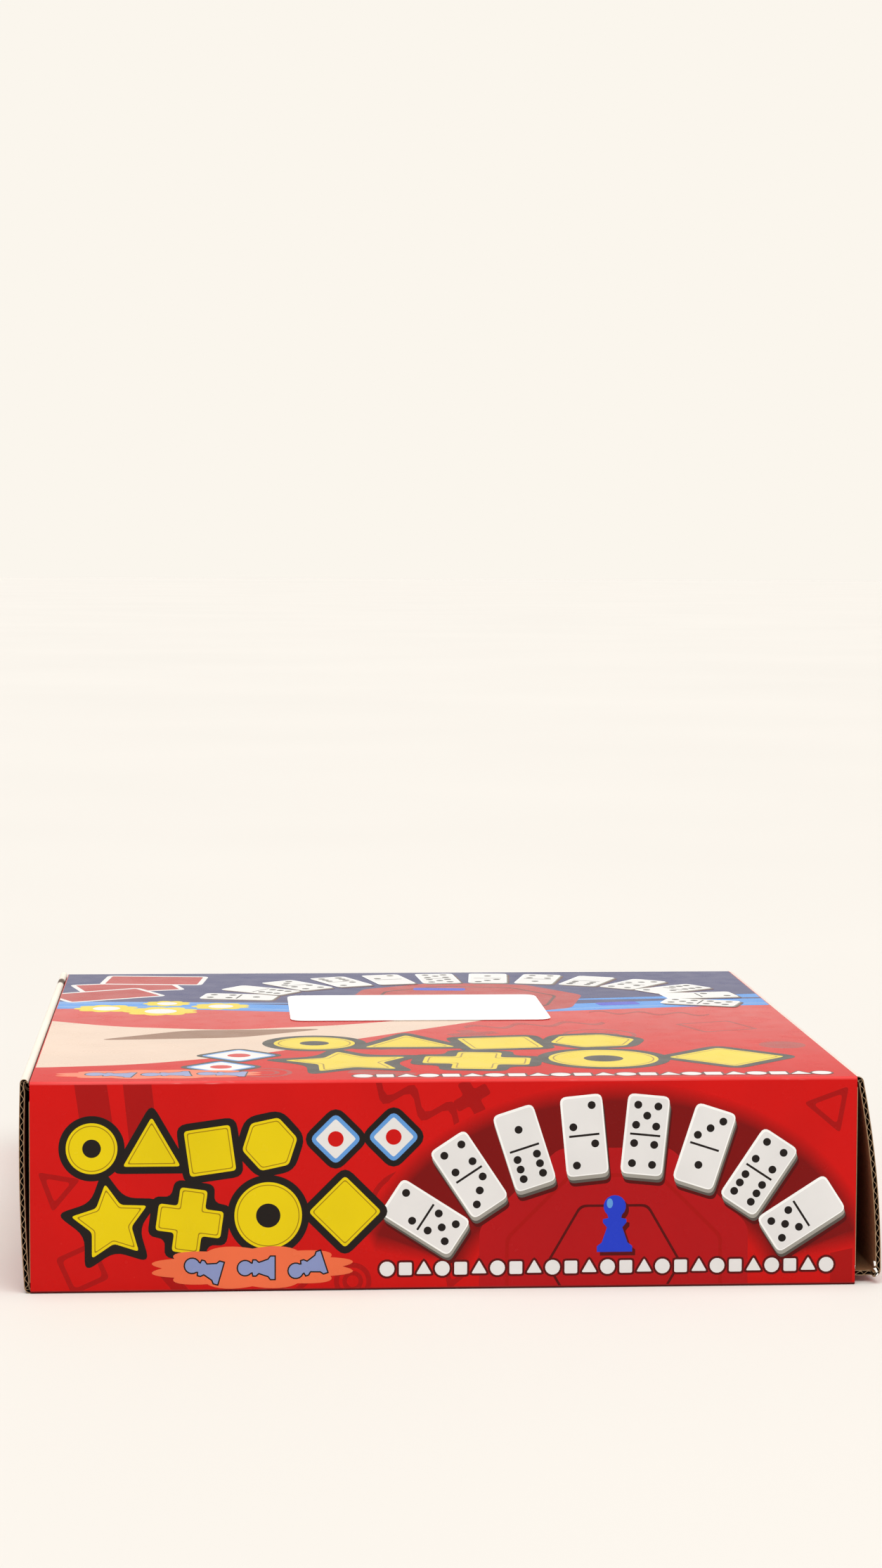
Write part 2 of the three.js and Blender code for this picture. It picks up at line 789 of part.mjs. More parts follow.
function sliding_door(centre_x, half_x, half_y) {
  return slab(
    [centre_x - half_x - door_overlap, centre_x + half_x + door_overlap],
    [-half_y - door_overlap, half_y + door_overlap],
    [door_under, door_top],
  );
}

function screw(place) {
  const head_top = floor_under - seat_gap;
  const head = disc(screw_head_radius, [head_top - screw_head_height, head_top], place);
  const shank_span = [head_top - overrun, floor_under + screw_length];
  return head.add(disc(screw_shank_radius, shank_span, place, circle_sides / 2));
}

add(wheel, 'wheel_housing', wheel_housing(), red_plastic);
add(wheel, 'wheel_base', wheel_base(), red_plastic);

[...key_letters].forEach((_, i) => {
  const letter = key_letters[(i + first_letter_shift) % key_count];
  add(wheel, `key_${letter}`, turn(key_angles[i], letter_key()), white_plastic);
});

const band_span = [floor_top + seat_gap, hinge_z + band_above_hinge];
add(wheel, 'key_catch_band', key_ring(band_inner, band_outer, band_span), steel);

add(wheel, 'timer_button', timer_button(), red_plastic);
add(wheel, 'button_spring', button_spring(), steel);
add(wheel, 'circuit_board', circuit_board(), circuit_green);
const buzzer_span = [floor_top + seat_gap, floor_top + seat_gap + buzzer_height];
add(wheel, 'buzzer', disc(buzzer_radius, buzzer_span, [buzzer_x, 0]), black_plastic);
add(wheel, 'mode_switch', mode_switch(), blue_plastic);

const cell_places = { battery_inner: -1, battery_outer: 1 };
for (const [name, side] of Object.entries(cell_places)) {
  const placed = cell()
    .rotate([0, 0, side > 0 ? 180 : 0])
    .translate([bay_centre_x + side * cell_pitch / 2, 0, cell_z]);
  add(wheel, name, placed, cell_jacket);
}
add(wheel, 'contact_front', contact(-1), steel);
add(wheel, 'contact_rear', contact(1), steel);

add(wheel, 'card_deck_lower', pocket_sheet(stack_base, deck_thickness), card_stock);
add(wheel, 'card_deck_upper', pocket_sheet(upper_deck_base, deck_thickness), card_stock);
add(wheel, 'rules_leaflet', pocket_sheet(leaflet_base, leaflet_thickness), paper);
add(wheel, 'card_door', sliding_door(0, pocket_half_x, pocket_half_y), red_plastic);
add(wheel, 'battery_door', sliding_door(bay_centre_x, bay_half_x, bay_half_y), red_plastic);

post_places.forEach((place, i) => add(wheel, `screw_${i + 1}`, screw(place), steel));

for (let i = 0; i < 4; i += 1) {
  const angle = degrees(side_step + 90 * i);
  const place = [foot_ring_radius * Math.cos(angle), foot_ring_radius * Math.sin(angle)];
  add(wheel, `foot_${i + 1}`, disc(foot_radius, [0, foot_height], place), dark_rubber);
}

export default game;
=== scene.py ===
"""A letter wheel game in its printed corrugated carton, dressed round the packed model."""

import json
import math

import bmesh
import bpy
from bpy.props import FloatProperty, FloatVectorProperty, PointerProperty
from mathutils import Matrix, Vector
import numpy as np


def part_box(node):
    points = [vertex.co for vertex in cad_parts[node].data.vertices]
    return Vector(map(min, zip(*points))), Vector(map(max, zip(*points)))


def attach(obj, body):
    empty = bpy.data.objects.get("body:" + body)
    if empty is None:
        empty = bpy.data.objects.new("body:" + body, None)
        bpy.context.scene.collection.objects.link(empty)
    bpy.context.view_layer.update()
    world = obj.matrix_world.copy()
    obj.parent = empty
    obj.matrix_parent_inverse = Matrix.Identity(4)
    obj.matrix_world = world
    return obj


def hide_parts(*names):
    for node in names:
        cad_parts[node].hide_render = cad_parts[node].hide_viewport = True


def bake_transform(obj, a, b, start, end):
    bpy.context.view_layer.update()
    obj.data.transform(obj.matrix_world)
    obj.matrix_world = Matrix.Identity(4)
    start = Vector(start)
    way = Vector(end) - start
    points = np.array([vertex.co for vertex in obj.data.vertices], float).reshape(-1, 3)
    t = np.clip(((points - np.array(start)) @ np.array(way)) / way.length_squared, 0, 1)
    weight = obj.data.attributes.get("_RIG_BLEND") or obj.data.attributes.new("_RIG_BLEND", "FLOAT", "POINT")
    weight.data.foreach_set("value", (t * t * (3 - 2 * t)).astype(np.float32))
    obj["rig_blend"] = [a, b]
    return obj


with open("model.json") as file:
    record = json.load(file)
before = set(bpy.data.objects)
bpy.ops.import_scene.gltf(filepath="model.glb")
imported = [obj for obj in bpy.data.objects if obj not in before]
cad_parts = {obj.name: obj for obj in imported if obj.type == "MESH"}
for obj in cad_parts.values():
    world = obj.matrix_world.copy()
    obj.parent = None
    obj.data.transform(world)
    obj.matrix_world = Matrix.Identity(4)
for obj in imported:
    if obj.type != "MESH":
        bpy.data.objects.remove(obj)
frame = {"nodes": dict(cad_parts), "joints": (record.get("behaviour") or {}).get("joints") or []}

bl_info = {
    "name": "Letter wheel game",
    "version": (1, 0, 0),
    "blender": (4, 5, 0),
    "location": "3D View > Sidebar > Letter wheel",
    "description": "Builds the carton, its print, the letter wheel and the studio",
    "category": "Object",
}

MM = 0.001
HALF_WIDTH, HALF_DEPTH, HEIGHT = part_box("carton_sleeve")[1] / MM
JOINTS = {joint["name"]: joint for joint in frame["joints"]}
KEYS = sorted(node for node in frame["nodes"] if node.startswith("key_") and len(node) == 5)
CARTON, PRINT, WHEEL, STAGE = "letter_carton", "letter_print", "letter_wheel", "letter_stage"


def tint(red, green, blue):
    """A colour given as screen values from 0 to 255, as the renderer wants it."""
    return tuple(
        c / 12.92 if c <= 0.04045 else ((c + 0.055) / 1.055) ** 2.4
        for c in (red / 255, green / 255, blue / 255)
    )


def colour_property(name, description, red, green, blue):
    return FloatVectorProperty(
        name=name, description=description, subtype="COLOR", min=0, max=1,
        default=tint(red, green, blue),
    )


def length_property(name, description, millimetres):
    return FloatProperty(
        name=name, description=description, unit="LENGTH", default=millimetres * MM
    )


class CartonSettings(bpy.types.PropertyGroup):
    """Sizes and colours of the corrugated board."""

    board: length_property("Board", "Thickness of the corrugated board", 1.7)
    liner: length_property("Liner", "Thickness of each flat paper layer", 0.26)
    medium: length_property("Medium", "Thickness of the wavy paper between them", 0.22)
    flute_pitch: length_property("Flute pitch", "From one wave of the core to the next", 3.5)
    fold_radius: length_property("Fold radius", "Round of the sleeve's four long folds", 0.9)
    print_depth: length_property("Print depth", "Room kept on the board for the inks", 0.12)
    flap_inset: length_property("Flap inset", "Each side of an end flap, from the side", 0.8)
    kraft: colour_property("Kraft", "Inside of the board", 140, 102, 69)
    core: colour_property("Core", "Wavy paper inside the board", 74, 50, 34)
    cut_edge: colour_property("Cut edge", "Cut edges of the paper layers", 152, 124, 96)
    label: colour_property("Label", "Bare paper label", 250, 250, 249)


class PrintSettings(bpy.types.PropertyGroup):
    """Inks of the carton's print."""

    red: colour_property("Red", "Ground of the print", 192, 11, 8)
    ghost: colour_property("Ghost red", "Faint shapes on the ground", 158, 9, 8)
    shade: colour_property("Shade red", "Darkest shade under the tiles", 82, 5, 5)
    deck_red: colour_property("Deck red", "Big form inside the arch", 166, 12, 17)
    black: colour_property("Black", "Outlines and marks", 28, 22, 20)
    yellow: colour_property("Yellow", "Bold forms", 217, 192, 6)
    amber: colour_property("Amber", "Inner lines of the bold forms", 150, 120, 8)
    white: colour_property("White", "Tiles and small marks", 216, 215, 215)
    light: colour_property("Light", "Lit edges of the tiles", 236, 236, 235)
    grey: colour_property("Grey", "Sides of the tiles", 150, 147, 140)
    dark_grey: colour_property("Dark grey", "Undersides of the tiles", 84, 78, 73)
    blue: colour_property("Blue", "Bright blue pieces", 34, 58, 190)
    pale_blue: colour_property("Pale blue", "Rims of the badges", 92, 146, 208)
    navy: colour_property("Navy", "Back band of the top", 24, 32, 96)
    sky: colour_property("Sky", "Stripe under the back band", 46, 132, 210)
    orange: colour_property("Orange", "Scalloped patch", 222, 104, 66)
    slate: colour_property("Slate", "Playing pieces on the patch", 128, 140, 186)
    sand: colour_property("Sand", "Wide ribbon of the top", 212, 188, 170)
    umber: colour_property("Umber", "Darker part of the ribbon", 134, 94, 70)


class WheelSettings(bpy.types.PropertyGroup):
    """Edges and colours of the moulded wheel."""

    edge: length_property("Edge", "Round of the moulded edges", 0.5)
    key_edge: length_property("Key edge", "Round of the key caps' edges", 0.7)
    letter_size: length_property("Letter size", "Height of a key's letter", 15.0)
    ridge: length_property("Ridge", "Height of the raised lines on the deck", 0.7)
    red: colour_property("Red", "Shells of the wheel", 186, 16, 22)
    white: colour_property("White", "Key caps", 222, 222, 218)
    blue: colour_property("Blue", "Mode switch", 30, 62, 170)


class StageSettings(bpy.types.PropertyGroup):
    """Camera, light and floor."""

    lens: FloatProperty(name="Lens", description="Focal length in mm on the long side",
                        default=74.18)
    yaw: FloatProperty(name="Yaw", description="Turn of the camera", subtype="ANGLE",
                       default=math.radians(-3.91))
    pitch: FloatProperty(name="Pitch", description="Tilt of the camera", subtype="ANGLE",
                         default=math.radians(-4.06))
    roll: FloatProperty(name="Roll", description="Lean of the camera", subtype="ANGLE",
                        default=math.radians(-0.23))
    place: FloatVectorProperty(name="Place", description="Where the camera stands",
                               subtype="TRANSLATION", default=(-0.072, -1.152, 0.235))
    floor: colour_property("Floor", "Pale floor", 211, 208, 204)
    back: colour_property("Back", "Pale light behind", 251, 246, 237)
    ceiling: FloatProperty(name="Ceiling", description="Strength of the light overhead",
                           default=0.42)
    key_light: FloatProperty(name="Key light", description="Strength of the wide front light",
                             default=3.45)
    key_spread: FloatProperty(name="Key spread", description="How wide the front light is",
                              subtype="ANGLE", default=math.radians(60))
    key_tilt: FloatProperty(name="Key tilt", description="Tilt of the front light",
                            subtype="ANGLE", default=math.radians(17))
    key_turn: FloatProperty(name="Key turn", description="Turn of the front light",
                            subtype="ANGLE", default=math.radians(6))


GROUPS = {
    CARTON: CartonSettings, PRINT: PrintSettings, WHEEL: WheelSettings, STAGE: StageSettings,
}


def settings(name):
    return getattr(bpy.context.scene, name)


def size(group, name):
    """A length from the settings, in millimetres."""
    return getattr(settings(group), name) / MM


def board_sizes(*names):
    """Lengths of the corrugated board, in millimetres."""
    return [size(CARTON, name) for name in names]


def colour_of(group, name):
    return tuple(getattr(settings(group), name))


# Materials


class Nodes:
    """A material's nodes, added one line at a time."""

    def __init__(self, name):
        found = bpy.data.materials.get(name)
        self.new = found is None
        self.material = found or bpy.data.materials.new(name)
        self.material.use_nodes = True
        self.tree = self.material.node_tree
        self.shader = self.tree.nodes["Principled BSDF"]
        if self.new:
            self.place = self.add("ShaderNodeTexCoord").outputs["Object"]

    def add(self, kind, **values):
        node = self.tree.nodes.new(kind)
        for key, value in values.items():
            if hasattr(node, key):
                setattr(node, key, value)
            else:
                node.inputs[key.replace("_", " ").title()].default_value = value
        return node

    def join(self, start, end):
        self.tree.links.new(start, end)

    def scaled(self, x, y, z):
        """Object coordinates stretched along each axis."""
        mapping = self.add("ShaderNodeMapping")
        mapping.inputs["Scale"].default_value = (x, y, z)
        self.join(self.place, mapping.inputs["Vector"])
        return mapping.outputs["Vector"]

    def noise(self, scale, detail=3.0, vector=None):
        node = self.add("ShaderNodeTexNoise", scale=scale, detail=detail)
        self.join(vector or self.place, node.inputs["Vector"])
        return node.outputs["Fac"]

    def bands(self, period, axis):
        """Soft stripes with that period, in metres, along an axis."""
        node = self.add("ShaderNodeTexWave", bands_direction=axis, wave_profile="SIN")
        node.inputs["Scale"].default_value = 2 * math.pi / (20 * period)
        self.join(self.place, node.inputs["Vector"])
        return node.outputs["Fac"]

    def ramp(self, fac, low, high, start=0.0, end=1.0):
        node = self.add("ShaderNodeMapRange")
        for key, value in (("From Min", start), ("From Max", end), ("To Min", low),
                           ("To Max", high)):
            node.inputs[key].default_value = value
        self.join(fac, node.inputs["Value"])
        return node.outputs["Result"]

    def along(self, axis):
        """The object coordinate along one axis, in metres."""
        split = self.add("ShaderNodeSeparateXYZ")
        self.join(self.place, split.inputs["Vector"])
        return split.outputs[axis]

    def mix(self, fac, first, second):
        """Two colours, or links, mixed by a number that varies over the surface."""
        node = self.add("ShaderNodeMix", data_type="RGBA")
        self.join(fac, node.inputs["Factor"])
        for socket, colour in ((node.inputs[6], first), (node.inputs[7], second)):
            if isinstance(colour, bpy.types.NodeSocket):
                self.join(colour, socket)
            else:
                socket.default_value = (*colour[:3], 1)
        return node.outputs[2]

    def tones(self, fac, colour, low, high, end=0.7):
        """A colour that varies between a darker and a lighter share of itself."""
        share = self.ramp(fac, 0.0, 1.0, 0.3, end)
        return self.mix(share, toned(colour, low), toned(colour, high))

    def bump(self, height, strength, distance, under=None):
        node = self.add("ShaderNodeBump", strength=strength, distance=distance)
        self.join(height, node.inputs["Height"])
        if under is not None:
            self.join(under, node.inputs["Normal"])
        return node.outputs["Normal"]

    def finish(self, colour, roughness, normal=None, **fixed):
        """Colour and roughness are links or plain values; the rest is set on the shader."""
        for name, value in (("Base Color", colour), ("Roughness", roughness)):
            socket = self.shader.inputs[name]
            if isinstance(value, bpy.types.NodeSocket):
                self.join(value, socket)
            else:
                socket.default_value = (*value, 1) if name == "Base Color" else value
        if normal is not None:
            self.join(normal, self.shader.inputs["Normal"])
        for name, value in fixed.items():
            self.shader.inputs[name.replace("_", " ")].default_value = value
        return self.material


def toned(colour, share):
    return tuple(min(1.0, c * share) for c in colour)


def ink(name):
    """Offset ink on smooth board, with the flutes just telling through it."""
    nodes = Nodes("ink_" + name)
    if not nodes.new:
        return nodes.material
    colour = colour_of(PRINT, "red" if name == "soft" else name)
    tone = nodes.tones(nodes.noise(34.0), colour, 0.95, 1.04)
    if name == "soft":
        fade = nodes.add("ShaderNodeAttribute", attribute_name="fade").outputs["Fac"]
        tone = nodes.mix(nodes.ramp(fade, 0.0, 0.8), tone, colour_of(PRINT, "shade"))
    normal = nodes.bump(nodes.bands(settings(CARTON).flute_pitch, "X"), 0.05, 0.0002)
    normal = nodes.bump(nodes.noise(900.0, 2.0), 0.06, 0.0001, normal)
    rough = nodes.ramp(nodes.noise(120.0), 0.2, 0.32)
    return nodes.finish(tone, rough, normal, Specular_IOR_Level=0.13)


def worn_fold(name="worn_fold", least=0.02, most=0.06, pale=None, through=None):
    """The print where it is bent over a fold: a lighter red as a painted highlight of its sheen,
    white where rubbed, fine cracks, and a painted shade close to the floor. Between the two places
    along y in through, in metres, it is worn down to the core."""
    nodes = Nodes(name)
    if not nodes.new:
        return nodes.material
    red = colour_of(PRINT, "red")
    white = pale or colour_of(CARTON, "label")
    cracks = nodes.noise(420.0, 6.0, nodes.scaled(0.3, 2.0, 2.0))
    rubbed = nodes.noise(14.0, 2.0)
    # The lighter red over the round is a painted highlight for its sheen; the white mixed in is rubbed wear.
    tone = nodes.mix(nodes.ramp(rubbed, least, most, 0.4, 0.65), toned(red, 1.15), white)
    tone = nodes.mix(nodes.ramp(cracks, 0.0, 0.2, 0.62, 0.8), tone, white)
    if through:
        y = nodes.along("Y")
        gone = nodes.mix(nodes.ramp(y, 0.0, 1.0, through[0], through[0] + 0.002), tone,
                         colour_of(CARTON, "core"))
        tone = nodes.mix(nodes.ramp(y, 0.0, 1.0, through[1], through[1] + 0.004), gone, tone)
    # Painted shade: the fold goes dark towards the floor, fully below 0.4 mm, for the bottom folds that face
    # down.
    under = nodes.ramp(nodes.along("Z"), 1.0, 0.0, 0.0004, 0.0014)
    tone = nodes.mix(under, tone, colour_of(PRINT, "shade"))
    rough = nodes.ramp(nodes.noise(300.0), 0.32, 0.5)
    return nodes.finish(tone, rough, nodes.bump(cracks, 0.15, 0.0001), Specular_IOR_Level=0.12)


def bare_and_sheen_fold(name):
    """A fold drawn almost white: partly print rubbed down to white paper, partly a painted sheen highlight.
    """
    # The high shares of pale paper paint the round's glossy sheen as a highlight, over the real wear.
    if name == "left":
        return worn_fold("left_bare_fold", 0.92, 1.0, tint(230, 226, 214), (0.1, 0.11))
    return worn_fold("right_bare_fold", 0.8, 1.0, tint(216, 210, 202))


def paper(name, colour, rough=0.82, along="X", strength=0.35, contrast=1.0):
    """Board paper: long fibres, specks and a rough tooth."""
    nodes = Nodes("paper_" + name)
    if not nodes.new:
        return nodes.material
    stretch = {"X": (260, 800, 800), "Y": (800, 260, 800), "Z": (800, 800, 260)}[along]
    fibres = nodes.noise(1.0, 5.0, nodes.scaled(*stretch))
    tone = nodes.tones(fibres, colour, 1 - 0.16 * contrast, 1 + 0.1 * contrast, 0.72)
    specks = nodes.ramp(nodes.noise(900.0, 1.0), 0.0, 0.7 * contrast, 0.68, 0.76)
    tone = nodes.mix(specks, tone, toned(colour, 0.55))
    tone = nodes.mix(nodes.ramp(nodes.noise(26.0), 0.0, 0.25 * contrast), tone, toned(colour, 0.7))
    rough = nodes.ramp(fibres, rough - 0.08, rough + 0.08)
    normal = nodes.bump(fibres, strength, 0.0003)
    return nodes.finish(tone, rough, normal, Specular_IOR_Level=0.25)


def moulded(name, colour, low=0.24, high=0.4, scale=700.0, strength=0.08, radius=0.0):
    """Moulded plastic: fine spark texture, faint flow marks and a soft gloss."""
    nodes = Nodes("moulded_" + name)
    if not nodes.new:
        return nodes.material
    spark = nodes.noise(scale, 3.0)
    flow = nodes.noise(22.0, 4.0, nodes.scaled(1.0, 2.5, 1.0))
    tone = nodes.tones(flow, colour, 0.92, 1.05)
    under = nodes.add("ShaderNodeBevel", samples=6, radius=radius).outputs[0] if radius else None
    normal = nodes.bump(spark, strength, 0.0001, under)
    return nodes.finish(tone, nodes.ramp(spark, low, high), normal)


def metal(name, colour):
    """Rolled or drawn metal with fine lines one way."""
    nodes = Nodes("metal_" + name)
    if not nodes.new:
        return nodes.material
    lines = nodes.noise(1.0, 3.0, nodes.scaled(40, 40, 900))
    tone = nodes.tones(lines, colour, 0.95, 1.03)
    normal = nodes.bump(lines, 0.05, 0.0001)
    return nodes.finish(tone, nodes.ramp(lines, 0.2, 0.38), normal, Metallic=1.0)


def red_shell():
    """The red plastic of the wheel, with its edges softened by a fine round."""
    return moulded("red", colour_of(WHEEL, "red"), radius=0.0004)


def steel():
    return metal("steel", tint(190, 192, 196))


def cell_print():
    """A cell's printed sleeve: dark with a copper band at one end, bare metal at both."""
    nodes = Nodes("cell_print")
    if not nodes.new:
        return nodes.material
    along = nodes.along("Y")
    grain = nodes.noise(300.0)
    dark, copper, bare = tint(40, 44, 50), tint(190, 112, 62), tint(196, 196, 198)
    tone = nodes.mix(nodes.ramp(along, 0.0, 1.0, 0.0119, 0.0121), dark, copper)
    tone = nodes.mix(nodes.ramp(along, 0.0, 1.0, 0.0206, 0.0208), tone, bare)
    tone = nodes.mix(nodes.ramp(along, 1.0, 0.0, -0.0213, -0.0211), tone, bare)
    tone = nodes.mix(nodes.ramp(grain, 0.0, 0.12), tone, (0.5, 0.5, 0.5))
    return nodes.finish(tone, nodes.ramp(grain, 0.2, 0.32), nodes.bump(grain, 0.04, 0.0001),
                        Metallic=0.6)


def solder_mask():
    """Green lacquer over copper tracks, which stand up a little and look paler."""
    nodes = Nodes("solder_mask")
    if not nodes.new:
        return nodes.material
    tracks = nodes.add("ShaderNodeTexBrick", scale=1 / MM, mortar_size=0.28, brick_width=8.5,
                       row_height=2.3)
    nodes.join(nodes.place, tracks.inputs["Vector"])
    lines = tracks.outputs["Fac"]
    tone = nodes.mix(lines, tint(18, 78, 44), tint(46, 130, 74))
    rough = nodes.ramp(nodes.noise(200.0), 0.3, 0.45)
    return nodes.finish(tone, rough, nodes.bump(lines, 0.5, 0.0001))


# Pieces


def board_papers(along, printed=None, folded=None):
    """Print, inside, cut edge, core and fold (wear and painted light) of a board, in that order."""
    kraft, cut_edge, core = (
        paper(f"{name}_{along.lower()}", colour_of(CARTON, name), along=along, strength=strength)
        for name, strength in (("kraft", 0.35), ("cut_edge", 0.35), ("core", 0.5))
    )
    return [printed or ink("red"), kraft, cut_edge, core, folded or worn_fold()]


PRINTED, INSIDE, CUT_EDGE, CORE, FOLDED = range(5)


def make_piece(name, bm, materials, body=None, node=None, smooth=35.0, recalc=True):
    """A bmesh in millimetres made into an object at the origin, in metres. It rides on a body
    and stands in for a CAD node where they are given."""
    if recalc:
        bmesh.ops.recalc_face_normals(bm, faces=bm.faces)
    bmesh.ops.scale(bm, vec=(MM, MM, MM), verts=bm.verts)
    mesh = bpy.data.meshes.new(name)
    bm.to_mesh(mesh)
    bm.free()
    if not mesh.polygons:
        raise RuntimeError(f"{name} came out empty")
    for material in materials:
        mesh.materials.append(material)
    mesh.polygons.foreach_set("use_smooth", [True] * len(mesh.polygons))
    mesh.set_sharp_from_angle(angle=math.radians(smooth))
    piece = bpy.data.objects.new(name, mesh)
    bpy.context.scene.collection.objects.link(piece)
    if body:
        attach(piece, body)
    if node:
        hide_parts(node)
    return piece


def dress(node, material):
    """A CAD node keeps its shape and takes a finished material."""
    mesh = frame["nodes"][node].data
    mesh.materials.clear()
    mesh.materials.append(material)


def softened(node, material, body, width, least=28.0):
    """A copy of a CAD node with its doubles merged and its edges rounded."""
    bm = bmesh.new()
    bm.from_mesh(frame["nodes"][node].data)
    bmesh.ops.scale(bm, vec=(1 / MM, 1 / MM, 1 / MM), verts=bm.verts)
    bmesh.ops.remove_doubles(bm, verts=bm.verts, dist=0.002)
    bmesh.ops.dissolve_limit(bm, angle_limit=math.radians(1), verts=bm.verts, edges=bm.edges)
    bevel_edges(bm, bm.edges, width, least)
    make_piece(node + "_rounded", bm, [material], body, node, recalc=False)


def bevel_edges(bm, edges, width, least=28.0, segments=2):
    """Rounds the edges that are bent by more than that many degrees."""
    sharp = [e for e in edges if e.is_manifold and e.calc_face_angle() > math.radians(least)]
    bmesh.ops.bevel(bm, geom=sharp, offset=width, offset_type="OFFSET", affect="EDGES",
                    segments=segments, profile=0.5, material=-1, clamp_overlap=True)


def extruded(bm, faces, move=(0, 0, 0)):
    """Pulls faces out of themselves, and returns the corners that are moved."""
    part = bmesh.ops.extrude_face_region(bm, geom=faces)["geom"]
    moved = [v for v in part if isinstance(v, bmesh.types.BMVert)]
    bmesh.ops.translate(bm, vec=move, verts=moved)
    return moved


# Corrugated board, in millimetres. Each end is drawn with u outwards from the sleeve's end and v
# away from the panel that the tuck goes under, so both ends share one drawing.

FLAP_OUT = 2.0  # how far the flap's outer face stands out where it leaves the crease
FLAP_START = 0.03  # share of the flap's height that belongs to the board over its crease
FLAP_SLACK = 0.05  # kept free at each side of a flap, so that the neighbours never touch
TUCK_INSET, TUCK_CORNER = 3.2, 12.0
CRUSH_RUN = 3.0  # the board gets thinner over this length before a fold
LEFT_CRUSHED = 0.74  # share of the thickness that is left at the left flap's fold
DUST_LENGTH, DUST_BOTTOM, DUST_TOP = 58.0, 5.8, HEIGHT - 2.4
DUST_TAPER, DUST_CORNER, DUST_GAP = 13.5, 5.0, 0.3
# The strip of liner over a dust crease: how far out, its start, its length and the bend's end
STRIP_OUT, STRIP_FROM, STRIP_LONG, STRIP_BENT = 0.24, 0.15, 4.2, 3.2
TAB_SETBACK, TAB_HEIGHT = 6.0, 25.0


class End:
    """One end of the carton. The fold is the middle of the round between the flap and its tuck,
    and the flap's own board follows it through the wrap, in degrees."""

    def __init__(self, side, fold, radius, bow, wrap, tuck_start, tuck_length, tuck_rise):
        self.side, self.fold, self.radius = side, fold, radius
        self.bow, self.wrap = bow, wrap
        self.tuck_start, self.tuck_length, self.tuck_rise = tuck_start, tuck_length, tuck_rise

    def world(self, u, v, y=0.0):
        return Vector((self.side * (HALF_WIDTH + u), y, v if self.side > 0 else HEIGHT - v))

    def flap_point(self, share, inset):
        """Outer face of the flap, from its crease at share 0 to its fold at 1."""
        start, end = (FLAP_OUT, HEIGHT), (self.fold[0] + self.radius, self.fold[1])
        u = start[0] + (end[0] - start[0]) * share + 4 * self.bow * share * (1 - share)
        return u - inset, start[1] + (end[1] - start[1]) * share

    def flap_line(self, inset, wrap):
        """Outer line of the flap, round its fold as far as the wrap angle says."""
        points = [self.flap_point(FLAP_START + (1 - FLAP_START) * i / 40, inset)
                  for i in range(41)]
        r = self.radius - inset
        points += arc(self.fold, (r, r), 0, -wrap, 16)[1:] if wrap else []
        return Path(points)

    def tuck_line(self, steps):
        u, v = self.tuck_start
        return Path([(u - self.tuck_length * i / steps, v + self.tuck_rise * (i / steps) ** 2)
                     for i in range(steps + 1)])


def end_named(name):
    """The fold stands where the packed joint has it; the curves repeat the carton's own."""
    crease = JOINTS[name + "_tuck_crease"]["pos_m"]
    if name == "right":
        fold = (crease[0] / MM - HALF_WIDTH, crease[2] / MM)
        return End(1, fold, radius=2.5, bow=1.6, wrap=90.0, tuck_start=(3.4, 2.1),
                   tuck_length=19.9, tuck_rise=4.0)
    fold = (-crease[0] / MM - HALF_WIDTH, HEIGHT - crease[2] / MM)
    return End(-1, fold, radius=1.45, bow=0.9, wrap=180.0, tuck_start=(-0.5, 2.0),
               tuck_length=16.8, tuck_rise=4.4)


class Path:
    """A line in the plane of a section, walked by its length."""

    def __init__(self, points):
        self.points = [Vector(p) for p in points]
        self.marks = [0.0]
        for a, b in zip(self.points, self.points[1:]):
            self.marks.append(self.marks[-1] + (b - a).length)
        self.length = self.marks[-1]

    def at(self, distance):
        distance = min(max(distance, 0.0), self.length)
        i = max(k for k in range(len(self.points) - 1) if self.marks[k] <= distance + 1e-9)
        share = (distance - self.marks[i]) / (self.marks[i + 1] - self.marks[i])
        return self.points[i].lerp(self.points[i + 1], share)

    def inwards(self, distance):
        along = self.at(distance + 0.25) - self.at(distance - 0.25)
        return Vector((along.y, -along.x)).normalized()


def polar(x, y, rx, ry, degrees):
    """The point of an ellipse at an angle."""
    angle = math.radians(degrees)
    return x + rx * math.cos(angle), y + ry * math.sin(angle)


def arc(centre, radii, first, last, steps=10):
    return [polar(*centre, *radii, first + (last - first) * i / steps) for i in range(steps + 1)]


def add_layer(bm, spot, depth, thickness, steps, papers):
    """One paper layer of a board. The spot function gives the place for a share of the length,
    a side from -1 to 1 and a depth."""
    before = set(bm.faces)
    shares = bm.verts.layers.float.get("share") or bm.verts.layers.float.new("share")
    sides = bm.verts.layers.float.get("side") or bm.verts.layers.float.new("side")
    near = bmesh.ops.create_grid(bm, x_segments=steps, y_segments=1, size=1)["verts"]
    for v in near:
        v[shares] = (v.co.x + 1) / 2
        v[sides] = v.co.y
    outside = [f for f in bm.faces if f not in before]
    grown_part = bmesh.ops.extrude_face_region(bm, geom=outside)["geom"]
    inside = {f for f in grown_part if isinstance(f, bmesh.types.BMFace)}
    far = {v for v in grown_part if isinstance(v, bmesh.types.BMVert)}
    for v in [*near, *far]:
        v.co = spot(v[shares], v[sides], depth(v[shares]) + (thickness if v in far else 0.0))
    outer, inner, edge = papers
    for f in bm.faces:
        if f not in before:
            f.material_index = outer if f in outside else inner if f in inside else edge


